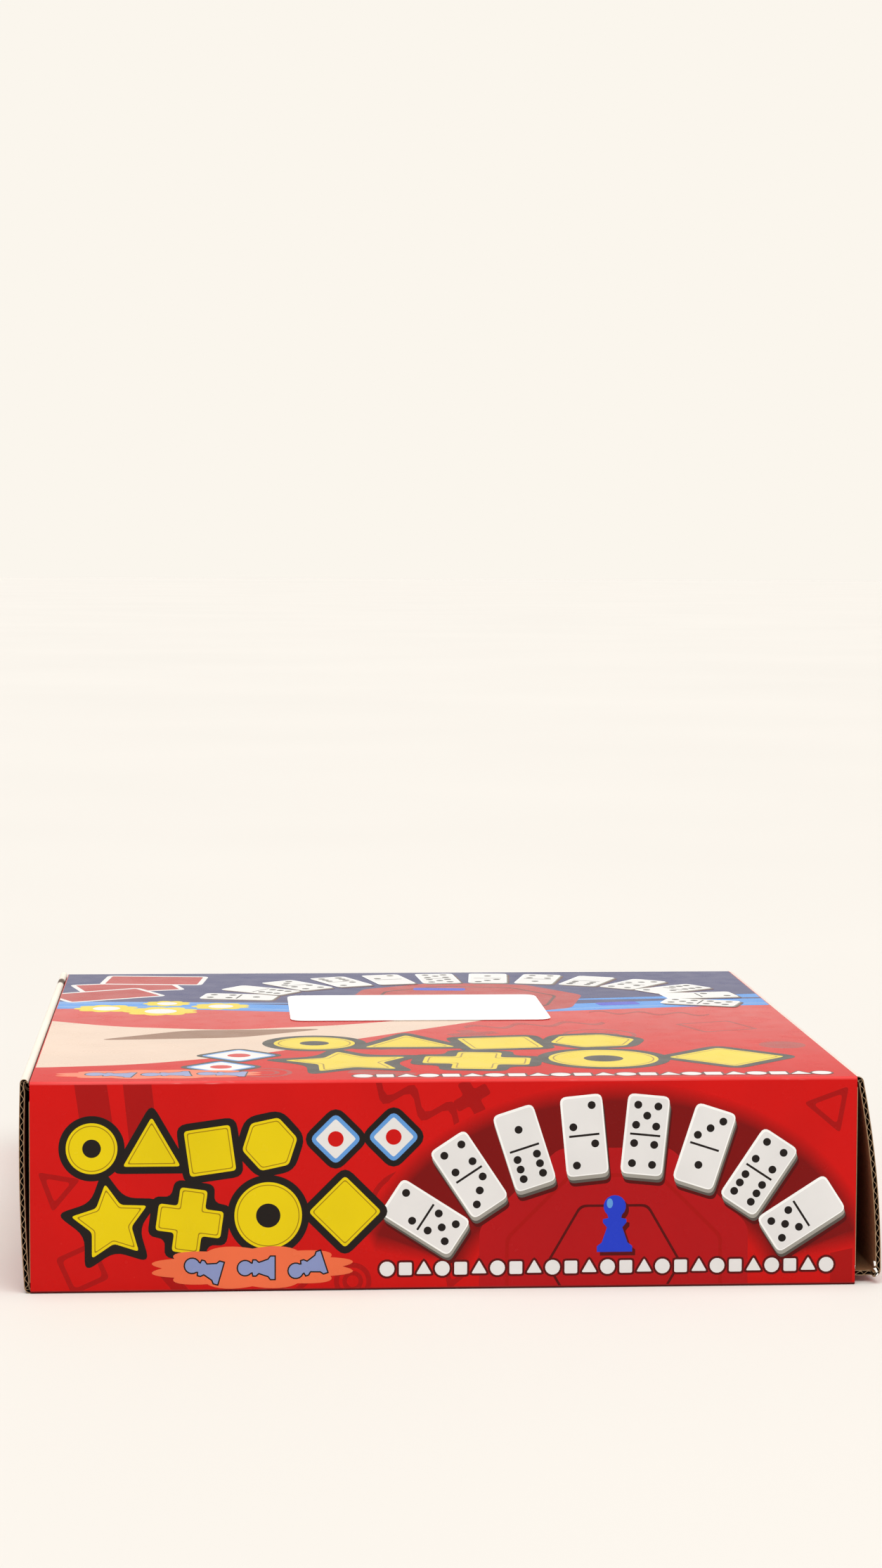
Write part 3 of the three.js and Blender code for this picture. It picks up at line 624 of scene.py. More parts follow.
def add_board(bm, spot, length, steps=None):
    """Outer liner, wavy core and inner liner along one length."""
    board, liner, medium, pitch = board_sizes("board", "liner", "medium", "flute_pitch")
    swing = (board - 2 * liner - medium) / 2
    coarse = steps or max(8, round(length / 1.2))
    fine = max(8, round(length / 0.4))

    def wave(share):
        return (board - medium) / 2 + swing * math.sin(2 * math.pi * length * share / pitch)

    add_layer(bm, spot, lambda share: 0.0, liner, coarse, (PRINTED, CORE, CUT_EDGE))
    add_layer(bm, spot, wave, medium, fine, (CORE, CORE, CUT_EDGE))
    add_layer(bm, spot, lambda share: board - liner, liner, coarse, (CORE, INSIDE, CUT_EDGE))


def board_piece(name, bm, body=None, node=None, along="Y", printed=None, smooth=50.0, folded=None):
    papers = board_papers(along, printed, folded)
    return make_piece(name, bm, papers, body, node, smooth)


def tube_walls(bm, half_depth, low, high, half_width, radius):
    """The four walls of a paper tube along x, with rounded folds and no thickness yet."""
    before = set(bm.faces)
    cube = bmesh.ops.create_cube(bm, size=2)["verts"]
    bmesh.ops.scale(bm, vec=(half_width, half_depth, (high - low) / 2), verts=cube)
    bmesh.ops.translate(bm, vec=(0, 0, (high + low) / 2), verts=cube)
    long_edges = [e for e in bm.edges if set(e.verts) <= set(cube)
                  and abs(e.verts[0].co.x - e.verts[1].co.x) > half_width]
    bevel_edges(bm, long_edges, radius, segments=5)
    ends = [f for f in bm.faces if f not in before and abs(f.normal.x) > 0.9]
    bmesh.ops.delete(bm, geom=ends, context="FACES_ONLY")
    return [f for f in bm.faces if f not in before]


def thicken(bm, walls, thickness, papers):
    """Gives the walls their thickness inwards, and each side its own paper."""
    outer, inner, edge = papers
    for f in walls:
        bent = min(abs(f.normal.y), abs(f.normal.z)) > 0.05
        f.material_index = FOLDED if bent and outer == PRINTED else outer
    before = set(bm.faces)
    bmesh.ops.solidify(bm, geom=walls, thickness=thickness)
    for f in bm.faces:
        if f not in before:
            f.material_index = edge if abs(f.normal.x) > 0.5 else inner


def sleeve_board():
    """The four panels and the glued tab of the sleeve."""
    board, liner, medium, pitch = board_sizes("board", "liner", "medium", "flute_pitch")
    inset, radius = board_sizes("print_depth", "fold_radius")
    bm = bmesh.new()
    outer = tube_walls(bm, HALF_DEPTH - inset, 0.0, HEIGHT - inset, HALF_WIDTH, radius)
    thicken(bm, outer, liner, (PRINTED, CORE, CUT_EDGE))
    deep = board - liner
    inner_radius, core_radius, core_setback, core_slack = 0.25, 0.9, 0.05, 0.02
    inner = tube_walls(bm, HALF_DEPTH - deep, deep, HEIGHT - deep, HALF_WIDTH, inner_radius)
    thicken(bm, inner, liner, (CORE, INSIDE, CUT_EDGE))

    # The core starts as four walls, which are cut across often enough to be pulled into waves
    middle = (board - medium) / 2
    core = tube_walls(bm, HALF_DEPTH - middle, middle, HEIGHT - middle,
                      HALF_WIDTH - core_setback, core_radius)
    wall_edges = {e for f in core for e in f.edges
                  if abs(e.verts[0].co.x - e.verts[1].co.x) > HALF_WIDTH}
    others = set(bm.faces) - set(core)
    cuts = round(6 * 2 * HALF_WIDTH / pitch)
    bmesh.ops.subdivide_edges(bm, edges=list(wall_edges), cuts=cuts)
    core = [f for f in bm.faces if f not in others]
    bm.normal_update()
    swing = (board - 2 * liner - medium) / 2 - core_slack
    for v in {v for f in core for v in f.verts}:
        out = Vector((0, v.normal.y, v.normal.z)).normalized()
        v.co += out * swing * math.sin(2 * math.pi * v.co.x / pitch)
    thicken(bm, core, medium, (CORE, CORE, CUT_EDGE))

    span = 2 * (HALF_WIDTH - TAB_SETBACK)

    def tab_spot(share, side, depth):
        return Vector((span * (share - 0.5), HALF_DEPTH - board - depth,
                       board + FLAP_SLACK + TAB_HEIGHT * (side + 1) / 2))

    add_board(bm, tab_spot, span)
    board_piece("sleeve_board", bm, "carton", "carton_sleeve", smooth=40.0)


def flap_half_span():
    return HALF_DEPTH - size(CARTON, "flap_inset") - FLAP_SLACK


def end_flap_board(name):
    """An end flap with its round fold."""
    end = end_named(name)
    line = end.flap_line(size(CARTON, "print_depth"), end.wrap)
    thin = 1.0 if name == "right" else LEFT_CRUSHED
    fold_from = line.length - math.radians(end.wrap) * end.radius - CRUSH_RUN

    def spot(share, side, depth):
        s = share * line.length
        crush = 1 - (1 - thin) * min(1.0, max(0.0, (s - fold_from) / CRUSH_RUN))
        p = line.at(s) + line.inwards(s) * depth * crush
        return end.world(p.x, p.y, side * flap_half_span())

    bm = bmesh.new()
    add_board(bm, spot, line.length, steps=110)
    shares = bm.verts.layers.float["share"]
    for f in bm.faces:
        nearest = min(v[shares] for v in f.verts) * line.length
        if f.material_index == PRINTED and nearest > fold_from:
            f.material_index = FOLDED
    folded = bare_and_sheen_fold(name) if name == "left" else worn_fold()
    flap = name + "_end_flap"
    board_piece(name + "_flap_board", bm, flap, flap, folded=folded)


# Torn flakes on a body: place u and v, length and turn
FLAKES = {
    "right_end_flap": ((6.4, 5.8, 1.7, 12), (7.2, 3.6, 1.9, 38), (6.9, 2.6, 1.1, -30)),
    "carton": ((-0.5, 4.6, 1.8, 4), (-0.35, 1.2, 0.9, 20)),
}


def torn_flakes():
    """Bits of the white liner torn up along the front edge of the right end."""
    end = end_named("right")
    white = paper("flake", colour_of(CARTON, "label"), 0.7, strength=0.3, contrast=0.5)
    for body, places in FLAKES.items():
        bm = bmesh.new()
        for u, v, long, turn in places:
            outline = [(0.0, 0.0), (0.26 * long, 0.1 * long), (0.4 * long, 0.8 * long),
                       (0.1, long)]
            flake = turned(shifted(outline, u, v), (u, v), turn)
            corners = [end.world(a, b, -flap_half_span()) for a, b in flake]
            face = bm.faces.new([bm.verts.new(corner) for corner in corners])
            extruded(bm, [face], (0.1, -0.35, 0.1))
        make_piece(f"torn_flakes_{body}", bm, [white], body)


def tuck_half_span():
    return flap_half_span() - TUCK_INSET


def rounded_share(left, corner):
    """How far a rounded corner pulls a side in, that far from the flap's end."""
    return corner - math.sqrt(max(0.0, corner**2 - max(0.0, corner - left) ** 2))


def tuck_board(name):
    """A tuck flap, with its far corners rounded."""
    end = end_named(name)
    line = end.tuck_line(60)

    def spot(share, side, depth):
        s = share * line.length
        p = line.at(s) + line.inwards(s) * depth
        half = tuck_half_span() - rounded_share(line.length - s, TUCK_CORNER)
        return end.world(p.x, p.y, side * half)

    bm = bmesh.new()
    add_board(bm, spot, line.length, steps=60)
    tuck = name + "_tuck_flap"
    board_piece(name + "_tuck_board", bm, tuck, tuck)


def crease_board(name, end, line, bodies, half_span, printed, thin=1.0):
    """A short run of board over a crease, bent between its two neighbours. It may start thin."""

    def spot(share, side, depth):
        s = share * line.length
        p = line.at(s) + line.inwards(s) * depth * (thin + (1 - thin) * share)
        return end.world(p.x, p.y, side * half_span)

    bm = bmesh.new()
    add_board(bm, spot, line.length, steps=14)
    piece = board_piece(name, bm, printed=printed, smooth=60.0)
    start, finish = (end.world(*line.points[i]) * MM for i in (0, -1))
    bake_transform(piece, *bodies, start=start, end=finish)


def end_creases(name):
    """The board over the crease at the flap's root, and over its tuck's crease."""
    end = end_named(name)
    inset = size(CARTON, "print_depth")
    top = HEIGHT - (inset if name == "right" else 0.0)
    reach = end.flap_point(FLAP_START, inset)
    root = Path(arc((0.0, reach[1]), (reach[0], top - reach[1]), 90, 0))
    flap, tuck = name + "_end_flap", name + "_tuck_flap"
    crease_board(name + "_flap_crease", end, root, ("carton", flap), flap_half_span(),
                 bare_and_sheen_fold(name) if name == "right" else worn_fold())
    near = end.fold[0] - end.radius + inset
    turn = 0.8  # radius of the small bend where the left tuck starts
    if name == "right":
        bottom = end.fold[1] - end.radius + inset
        line = Path([(end.fold[0], bottom), (end.fold[0] - 1, bottom), end.tuck_start])
        thin = 1.0
    else:
        bend = arc((near - turn, 1.2), (turn, turn), 0, 90, 8)
        line = Path([(near, end.fold[1]), (near, end.fold[1] + turn / 2), *bend])
        thin = LEFT_CRUSHED
    crease_board(name + "_tuck_crease", end, line, (flap, tuck), tuck_half_span(), worn_fold(),
                 thin)


def dust_board(name, place):
    """A dust flap stands across the end, from its crease towards the middle."""
    end = end_named(name)
    side = -1 if place == "front" else 1
    crease = HALF_DEPTH - size(CARTON, "board") - DUST_GAP
    length = crease - (HALF_DEPTH - DUST_LENGTH)
    node = f"{name}_dust_flap_{place}"

    def spot(share, span_side, depth):
        pull = rounded_share(length * (1 - share), DUST_CORNER)
        bottom, top = DUST_BOTTOM + pull, DUST_TOP - DUST_TAPER * share - pull
        v = bottom + (top - bottom) * (span_side + 1) / 2
        return end.world(-0.02 - depth * 0.98, v, side * (crease - length * share))

    bm = bmesh.new()
    add_board(bm, spot, length, steps=60)
    board_piece(f"{name}_dust_board_{place}", bm, node, node, "Z")

    # The liner over its crease
    def strip_spot(share, span_side, depth):
        v = DUST_BOTTOM + 0.6 + (DUST_TOP - DUST_BOTTOM - 1.8) * (span_side + 1) / 2
        y = side * (HALF_DEPTH - STRIP_FROM - STRIP_LONG * share)
        return end.world(STRIP_OUT - depth, v, y)

    strip = bmesh.new()
    add_layer(strip, strip_spot, lambda share: 0.0, 0.2, 14, (PRINTED, INSIDE, CUT_EDGE))
    piece = board_piece(f"{name}_dust_crease_{place}", strip, along="Z", printed=worn_fold())
    start, finish = (end.world(STRIP_OUT, HEIGHT / 2, side * (HALF_DEPTH - inset)) * MM
                     for inset in (STRIP_FROM, STRIP_BENT))
    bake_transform(piece, "carton", node, start=start, end=finish)


# Outlines: lists of corners in millimetres


def ellipse(x, y, rx, ry=None, steps=36):
    return [polar(x, y, rx, ry or rx, 360 * i / steps) for i in range(steps)]


def turned(points, centre, degrees):
    c, s = math.cos(math.radians(degrees)), math.sin(math.radians(degrees))
    return [(centre[0] + (x - centre[0]) * c - (y - centre[1]) * s,
             centre[1] + (x - centre[0]) * s + (y - centre[1]) * c) for x, y in points]


def shifted(points, x, y):
    return [(p + x, q + y) for p, q in points]


def regular(x, y, radius, sides, turn=90.0):
    return [polar(x, y, radius, radius, turn + 360 * i / sides) for i in range(sides)]


def star(x, y, outer, inner, tips, turn=90.0):
    return [polar(x, y, radius, radius, turn + 180 * i / tips)
            for i, radius in enumerate([outer, inner] * tips)]


def block(x, y, width, height, turn=0.0):
    corners = [(x - width / 2, y - height / 2), (x + width / 2, y - height / 2),
               (x + width / 2, y + height / 2), (x - width / 2, y + height / 2)]
    return turned(corners, (x, y), turn)


def cross(x, y, radius, arm, turn=0.0):
    a, r = arm / 2, radius
    corners = [(a, -r), (a, -a), (r, -a), (r, a), (a, a), (a, r), (-a, r), (-a, a), (-r, a),
               (-r, -a), (-a, -a), (-a, -r)]
    return turned(shifted(corners, x, y), (x, y), turn)


def pawn(x, y, height, turn=0.0):
    """A turned playing piece seen from the side."""
    side = [(0.30, 0.0), (0.30, 0.10), (0.22, 0.16), (0.13, 0.42), (0.20, 0.50), (0.20, 0.56),
            (0.11, 0.58)]
    head = [polar(0, 0.78, 0.19, 0.19, angle) for angle in range(-50, 231, 20)]
    points = side + head + [(-p, q) for p, q in reversed(side)]
    return turned([(x + p * height, y + q * height) for p, q in points], (x, y + height / 2), turn)


def scallops(x, y, rx, ry, count, depth):
    """An ellipse with a scalloped edge, drawn in eight steps a scallop."""
    points = []
    for i in range(count * 8):
        share = 1 - depth * (1 - abs(math.sin(math.pi * i / 8)))
        points.append(polar(x, y, rx * share, ry * share, 360 * i / (count * 8)))
    return points


def rounded(points, radius, steps=4):
    """Each corner of an outline replaced by a short curve."""
    made = []
    for i, corner in enumerate(points):
        at = Vector(corner)
        a, b = Vector(points[i - 1]) - at, Vector(points[(i + 1) % len(points)]) - at
        cut = min(radius, a.length * 0.48, b.length * 0.48)
        start, end = at + a.normalized() * cut, at + b.normalized() * cut
        for k in range(steps + 1):
            t = k / steps
            made.append(tuple(start.lerp(at, t).lerp(at.lerp(end, t), t)))
    return made


def grown(points, by):
    """The outline moved outwards, or inwards where the number is below zero."""
    area = sum(points[i - 1][0] * p[1] - p[0] * points[i - 1][1] for i, p in enumerate(points))
    way = 1 if area > 0 else -1
    made = []
    for i, p in enumerate(points):
        a = Vector(p) - Vector(points[i - 1])
        b = Vector(points[(i + 1) % len(points)]) - Vector(p)
        m = (Vector((a.y, -a.x)).normalized() + Vector((b.y, -b.x)).normalized()) * way
        reach = 2 * by / max(m.length_squared, 0.5)
        made.append((p[0] + m.x * reach, p[1] + m.y * reach))
    return made


PRINT_MARGIN = 0.3  # each end of a flat sheet, from the sleeve's end


class PrintSheet:
    """Shapes printed on one panel. A later shape lies over the earlier ones that it meets."""

    def __init__(self, name, low, high, place, curve_step=None):
        self.name, self.place, self.curve_step = name, place, curve_step
        self.low, self.high = low, high
        self.bm = bmesh.new()
        self.level = self.bm.faces.layers.int.new("level")
        self.fade = self.bm.verts.layers.float.new("fade")
        self.covered, self.inks = [], []

    def level_over(self, points):
        xs, ys = [p[0] for p in points], [p[1] for p in points]
        box = (min(xs), min(ys), max(xs), max(ys))
        under = [level for level, old in self.covered
                 if old[0] < box[2] and box[0] < old[2] and old[1] < box[3] and box[1] < old[3]]
        self.covered.append((1 + max(under, default=0), box))
        return self.covered[-1][0]

    def corners(self, points, fade=0.0):
        made = [self.bm.verts.new((x, y, 0.0)) for x, y in points]
        for v in made:
            v[self.fade] = fade
        return made

    def face(self, corners, colour, level):
        if colour not in self.inks:
            self.inks.append(colour)
        face = self.bm.faces.new(corners)
        face.normal_update()
        if face.normal.z < 0:
            face.normal_flip()
        face.material_index = self.inks.index(colour)
        face[self.level] = level

    def band(self, outer, inner, colour, level):
        for i in range(len(outer)):
            self.face((outer[i - 1], outer[i], inner[i], inner[i - 1]), colour, level)

    def add(self, colour, points):
        clean = [p for i, p in enumerate(points)
                 if (Vector(p) - Vector(points[i - 1])).length > 0.02]
        self.face(self.corners(clean), colour, self.level_over(clean))

    def ring(self, colour, points, width, soften=0.0):
        """The band between an outline and the same outline moved in."""
        outer, inner = points, grown(points, -width)
        if soften:
            outer, inner = rounded(outer, soften), rounded(inner, soften)
        self.band(self.corners(outer), self.corners(inner), colour, self.level_over(points))

    def soft_band(self, places, half, spread):
        """A shade under a row of tiles, which fades out into the red all round."""
        rows = []
        for i, (x, y, turn) in enumerate(places):
            dark = 0.0 if i in (0, len(places) - 1) else 1.0
            across = [(x, y - half - spread), (x, y - half), (x, y + half), (x, y + half + spread)]
            spots = turned(across, (x, y), turn)
            rows.append([self.corners([spot], fade)[0]
                         for spot, fade in zip(spots, (0.0, dark, dark, 0.0))])
        level = self.level_over([tuple(v.co.xy) for row in rows for v in row])
        for a, b in zip(rows, rows[1:]):
            for k in range(3):
                self.face((a[k], a[k + 1], b[k + 1], b[k]), "soft", level)

    def cut(self, point, normal, clear):
        everything = [*self.bm.verts, *self.bm.edges, *self.bm.faces]
        bmesh.ops.bisect_plane(self.bm, geom=everything, dist=1e-4, plane_co=point,
                               plane_no=normal, clear_outer=clear)

    def finish(self, body):
        """Trims the shapes to the panel, thickens them and lays them on it."""
        bm = self.bm
        bmesh.ops.triangulate(bm, faces=[f for f in bm.faces if len(f.verts) > 4])
        for corner, way in ((self.low, -1), (self.high, 1)):
            for normal in ((way, 0, 0), (0, way, 0)):
                self.cut((*corner, 0), normal, True)
        if self.curve_step:
            for i in range(1, math.ceil((self.high[1] - self.low[1]) / self.curve_step)):
                self.cut((0, self.low[1] + i * self.curve_step, 0), (0, 1, 0), False)
        levels = sorted({f[self.level] for f in bm.faces})
        spare = 0.015
        step = (size(CARTON, "print_depth") - spare) / levels[-1]
        for level in levels:
            faces = [f for f in bm.faces if f[self.level] == level]
            extruded(bm, faces, (0, 0, level * step))
            for f in bm.faces:
                if f[self.level] == level:
                    f[self.level] = 0
        for v in bm.verts:
            v.co = self.place(*v.co)
        papers = [ink(name) for name in self.inks]
        make_piece(self.name, bm, papers, body, smooth=30.0)


# Printed motifs


def bold_form(sheet, outline, soften=1.2, scale=1.0):
    """A yellow form with a fine inner line, on a thick black outline."""
    sheet.add("black", rounded(grown(outline, 2.3 * scale), 3.0 * soften))
    sheet.add("yellow", rounded(outline, soften))
    sheet.ring("amber", grown(outline, -0.8 * scale), 0.3 * scale, 0.7 * soften)


def badge(sheet, x, y, radius):
    """A white badge with a blue rim and a red dot."""
    shape = rounded(regular(x, y, radius, 4, 90), 2.2)
    sheet.add("black", grown(shape, 1.9))
    sheet.add("pale_blue", shape)
    sheet.add("white", grown(shape, -1.3))
    sheet.add("red", ellipse(x, y, radius * 0.3))


PIPS = {
    0: [], 1: [(0, 0)], 2: [(-1, -1), (1, 1)], 3: [(-1, -1), (0, 0), (1, 1)],
    4: [(-1, -1), (1, -1), (-1, 1), (1, 1)],
    5: [(-1, -1), (1, -1), (0, 0), (-1, 1), (1, 1)],
    6: [(-1, -1), (1, -1), (-1, 0), (1, 0), (-1, 1), (1, 1)],
}


def domino(sheet, x, y, width, length, turn, spots):
    """A thick white domino."""
    body = rounded(block(x, y, width, length, turn), 2.2)
    sheet.add("shade", shifted(body, 0.9, -3.2))
    sheet.add("dark_grey", shifted(body, 0.5, -2.1))
    sheet.add("grey", shifted(body, 0.2, -1.2))
    sheet.add("light", body)
    sheet.add("white", shifted(grown(body, -0.6), 0.15, -0.2))
    sheet.add("black", block(x, y, width * 0.72, 0.7, turn))
    for half, number in zip((-1, 1), spots):
        for px, py in PIPS[number]:
            spot = (x + px * width * 0.24, y + half * length * 0.24 + py * width * 0.24)
            sheet.add("black", ellipse(*turned([spot], (x, y), turn)[0], width * 0.095, steps=16))


def patch(sheet, centre, radii, pieces, y, height, rim):
    """Slate playing pieces that lie in a row on an orange patch."""
    sheet.add("orange", scallops(*centre, *radii, 12, 0.13))
    for x, turn in pieces:
        piece = pawn(x, y, height, turn)
        sheet.add("black", grown(piece, rim))
        sheet.add("slate", piece)


def frieze(sheet, x, y, length, tall, count):
    """A row of small discs, squares and triangles, each on a dark rim."""
    for i in range(count):
        at = x + length * (i + 0.5) / count
        shape = (
            ellipse(at, y, tall / 2, steps=18),
            rounded(block(at, y, tall * 0.86, tall * 0.86), 0.5, 2),
            rounded(regular(at, y - tall * 0.06, tall * 0.6, 3), 0.5, 2),
        )[i % 3]
        sheet.add("shade", grown(shape, 0.7))
        sheet.add("white", shape)


def ghosts(sheet, items):
    """Faint outlines and solid shapes on the ground."""
    line = 1.6
    for kind, x, y, across, turn in items:
        if kind == "ring":
            sheet.ring("ghost", ellipse(x, y, across), line)
            sheet.ring("ghost", ellipse(x, y, across * 0.55, steps=28), 1.4)
        elif kind == "square":
            sheet.ring("ghost", block(x, y, across, across, turn), line, line)
        elif kind == "triangle":
            sheet.ring("ghost", regular(x, y, across, 3, turn), line, line)
        elif kind == "disc":
            sheet.add("ghost", ellipse(x, y, across))
        elif kind == "cross":
            sheet.add("ghost", rounded(cross(x, y, across, across * 0.66, turn), 1.0))
        elif kind == "bar":
            sheet.add("ghost", rounded(block(x, y, across * 0.3, across, turn), 0.8))
        elif kind == "wave":
            near = [(x - across + across * i / 12, y + across * 0.16 * math.sin(math.pi * i / 4))
                    for i in range(25)]
            far = shifted(reversed(near), 0, across * 0.16)
            sheet.add("ghost", turned(near + far, (x, y), turn))


BOLD = (
    ("disc", -113.0, 46.5, 8.2), ("triangle", -94.0, 47.5, 10.6), ("square", -75.5, 45.5, 7.4),
    ("hexagon", -56.5, 47.5, 9.0), ("star", -107.0, 22.5, 12.8), ("cross", -82.0, 23.0, 10.4),
    ("donut", -57.0, 24.5, 10.8), ("diamond", -32.5, 25.5, 11.6),
)


def bold_group(sheet, move=(0.0, 0.0), scale=1.0):
    """The yellow forms in two staggered rows."""
    for kind, x, y, radius in BOLD:
        x, y, r = x * scale + move[0], y * scale + move[1], radius * scale
        outline = {
            "disc": ellipse(x, y, r), "donut": ellipse(x, y, r),
            "triangle": regular(x, y - 0.15 * r, r, 3), "square": block(x, y, 2 * r, 2 * r, 8),
            "hexagon": regular(x, y, r, 6, 12), "star": star(x, y, r, r * 0.52, 5, 98),
            "cross": cross(x, y, r, r * 0.84, -8), "diamond": regular(x, y, r, 4),
        }[kind]
        bold_form(sheet, outline, 1.2 * scale, scale)
        if kind in ("disc", "donut"):
            sheet.add("black", ellipse(x, y, r * 0.36))


def flat_sheet(name, low, high, origin, right, up, out):
    """A sheet on a flat panel."""
    origin, right, up, out = Vector(origin), Vector(right), Vector(up), Vector(out)
    return PrintSheet(name, low, high, lambda a, b, h: origin + right * a + up * b + out * h)


def side_sheet(name, side):
    """A sheet on the front, at side -1, or on the rear, at 1."""
    inset, edge = board_sizes("print_depth", "fold_radius")
    reach = HALF_WIDTH - PRINT_MARGIN
    return flat_sheet(name, (-reach, edge), (reach, HEIGHT - inset - edge),
                      (0, side * (HALF_DEPTH - inset), 0), (-side, 0, 0), (0, 0, 1), (0, side, 0))


def arch(centre, radii, first, last, count):
    """Places spaced evenly along an arch, each with the turn of its outward line."""
    path = Path(arc(centre, radii, first, last, 400))
    made = []
    for i in range(count):
        p = path.at(path.length * i / (count - 1))
        out = Vector(((p.x - centre[0]) / radii[0] ** 2, (p.y - centre[1]) / radii[1] ** 2))
        made.append((p.x, p.y, math.degrees(math.atan2(out.y, out.x)) - 90))
    return made


def front_print():
    sheet = side_sheet("front_print", -1)
    ghosts(sheet, [
        ("bar", -98, 62, 30, 6), ("bar", -112, 58, 34, 8), ("wave", -10, 59, 20, -24),
        ("ring", -12, 26, 13, 0), ("triangle", -124, 34, 8, 20), ("square", -116, 8, 13, 24),
        ("disc", 60, 12, 11, 0), ("cross", 108, 14, 9, 12), ("square", 125, 22, 15, 30),
        ("triangle", 4, 9, 10, 10), ("ring", 34, 12, 7, 0), ("bar", 82, 6, 22, -14),
        ("bar", 128, 12, 24, 0), ("square", -50, 4, 10, 40), ("triangle", 124, 58, 9, 50),
        ("cross", 8, 62, 6, 30), ("ring", -30, 3, 6, 0), ("bar", -86, 2, 14, 40),
    ])
    sheet.soft_band(arch((55, 3.5), (66, 44), 172, 8, 40), 13.0, 6.0)
    sheet.add("deck_red", rounded(regular(54, 2, 47, 8, 22.5), 3))
    sheet.ring("ghost", regular(54, 2, 38, 8, 22.5), 1.2, 2.0)
    sheet.ring("shade", regular(54, 8, 22, 6, 0), 0.8, 2.0)
    sheet.add("shade", pawn(55.2, 10.4, 19))
    sheet.add("blue", pawn(54.2, 11.6, 19))
    sheet.add("pale_blue", ellipse(52.6, 27.4, 1.0, 1.6, 16))
    numbers = ((5, 2), (3, 4), (6, 1), (2, 2), (4, 5), (1, 3), (6, 4), (5, 0))
    for i, (x, y, turn) in enumerate(arch((54, 6.5), (66, 43.5), 157, 23, 8)):
        domino(sheet, x, y, 13.6, 26, turn, numbers[i])
    bold_group(sheet)
    for x, y in ((-35.5, 49.0), (-17.0, 49.5)):
        badge(sheet, x, y, 8.4)
    patch(sheet, (-62, 7.8), (33, 7.0), ((-78.0, 74), (-61.0, 90), (-45.0, 108)), 1.6, 12.0, 0.45)
    frieze(sheet, -22.0, 6.8, 148.0, 4.8, 25)
    sheet.finish("carton")


def top_print():
    inset, edge = board_sizes("print_depth", "fold_radius")
    reach_x, reach_y = HALF_WIDTH - PRINT_MARGIN, HALF_DEPTH - inset - edge
    sheet = flat_sheet("top_print", (-reach_x, -reach_y), (reach_x, reach_y),
                       (0, 0, HEIGHT - inset), (1, 0, 0), (0, 1, 0), (0, 0, 1))

    def shore(shift):
        return [(-140 + 7 * i, 34 + shift + 9 * math.sin(i / 6.0 + 1.2)) for i in range(41)]

    corner = [(140, 140), (-140, 140)]
    sheet.add("sky", shore(-9) + corner)
    sheet.add("pale_blue", shore(-2) + shore(-5)[::-1])
    sheet.add("navy", shore(9) + corner)
    sheet.add("pale_blue", [(-140, 54), (-20, 44), (-140, 46)])
    sheet.add("sky", [(140, 66), (30, 48), (140, 56)])
    ribbon = [(-140, -104), (-100, -98), (-60, -78), (-20, -40), (26, 2), (34, 12), (10, 8),
              (-30, -12), (-70, -22), (-110, -12), (-140, 8)]
    sheet.add("sand", rounded(ribbon, 12, 6))
    sheet.add("umber", rounded([(-116, -44), (-66, -40), (-34, -20), (-84, -22)], 8, 6))
    ghosts(sheet, [
        ("ring", 60, -38, 13, 0), ("square", 104, -20, 22, 20), ("wave", 40, -16, 26, 12),
        ("triangle", -104, -116, 12, 30), ("disc", 120, -64, 8, 0), ("cross", 16, -34, 9, 20),
        ("bar", -20, -118, 22, 70), ("ring", -58, -116, 9, 0), ("triangle", -14, -62, 10, 0),
        ("wave", 84, 12, 22, -10),
    ])
    deck = rounded(regular(20, 56, 46, 8, 10), 4)
    sheet.add("deck_red", deck)
    sheet.ring("shade", regular(20, 56, 36, 8, 10), 1.2, 3.0)
    sheet.add("blue", rounded(block(76, 40, 16, 8, 12), 2))
    sheet.add("blue", rounded(block(12, 82, 20, 7, -6), 2))
    for i, (x, y, turn) in enumerate(arch((22, 56), (88, 58), 172, -14, 13)):
        domino(sheet, x, y, 15, 28, turn, ((i * 5 + 1) % 7, (i * 3 + 4) % 7))
    bold_group(sheet, move=(152.0, -133.0), scale=1.7)
    badge(sheet, -66, -80, 13)
    badge(sheet, -72, -104, 12)
    for x, y, turn in ((-108, 92, 14), (-98, 112, -6), (-116, 70, 26)):
        card = rounded(block(x, y, 40, 26, turn), 3)
        sheet.add("white", card)
        sheet.add("deck_red", grown(card, -2.0))
    for x, y, radius in ((-114, 34, 12), (-94, 26, 14), (-72, 38, 11), (-92, 46, 9)):
        sheet.add("yellow", scallops(x, y, radius, radius * 0.8, 9, 0.18))
        sheet.add("white", ellipse(x, y, radius * 0.42))
    patch(sheet, (-92, -118), (34, 9), ((-108.0, 80), (-90.0, 96), (-72.0, 84)), -126, 16, 0.5)
    frieze(sheet, -30, -124.0, 156, 6.4, 22)
    sheet.finish("carton")


def rear_print():
    sheet = side_sheet("rear_print", 1)
    ghosts(sheet, [
        ("ring", -20, 30, 16, 0), ("square", 22, 50, 16, 20), ("wave", 60, 58, 22, 8),
        ("disc", 112, 22, 12, 0), ("triangle", -120, 14, 10, 20), ("cross", -54, 8, 8, 15),
        ("bar", -98, 60, 22, 10), ("ring", 74, 14, 7, 0), ("square", 120, 54, 14, 35),
        ("bar", 4, 8, 18, -20),
    ])
    for i in range(6):
        domino(sheet, 18 + 19.5 * i, 38 + 7 * math.sin(i * 1.4), 14.5, 27, -24 + 11 * i,
               ((i * 2 + 3) % 7, (i * 4 + 1) % 7))
    bold_group(sheet)
    badge(sheet, -14, 50, 8.4)
    frieze(sheet, -20, 6.8, 140, 4.8, 24)
    sheet.finish("carton")


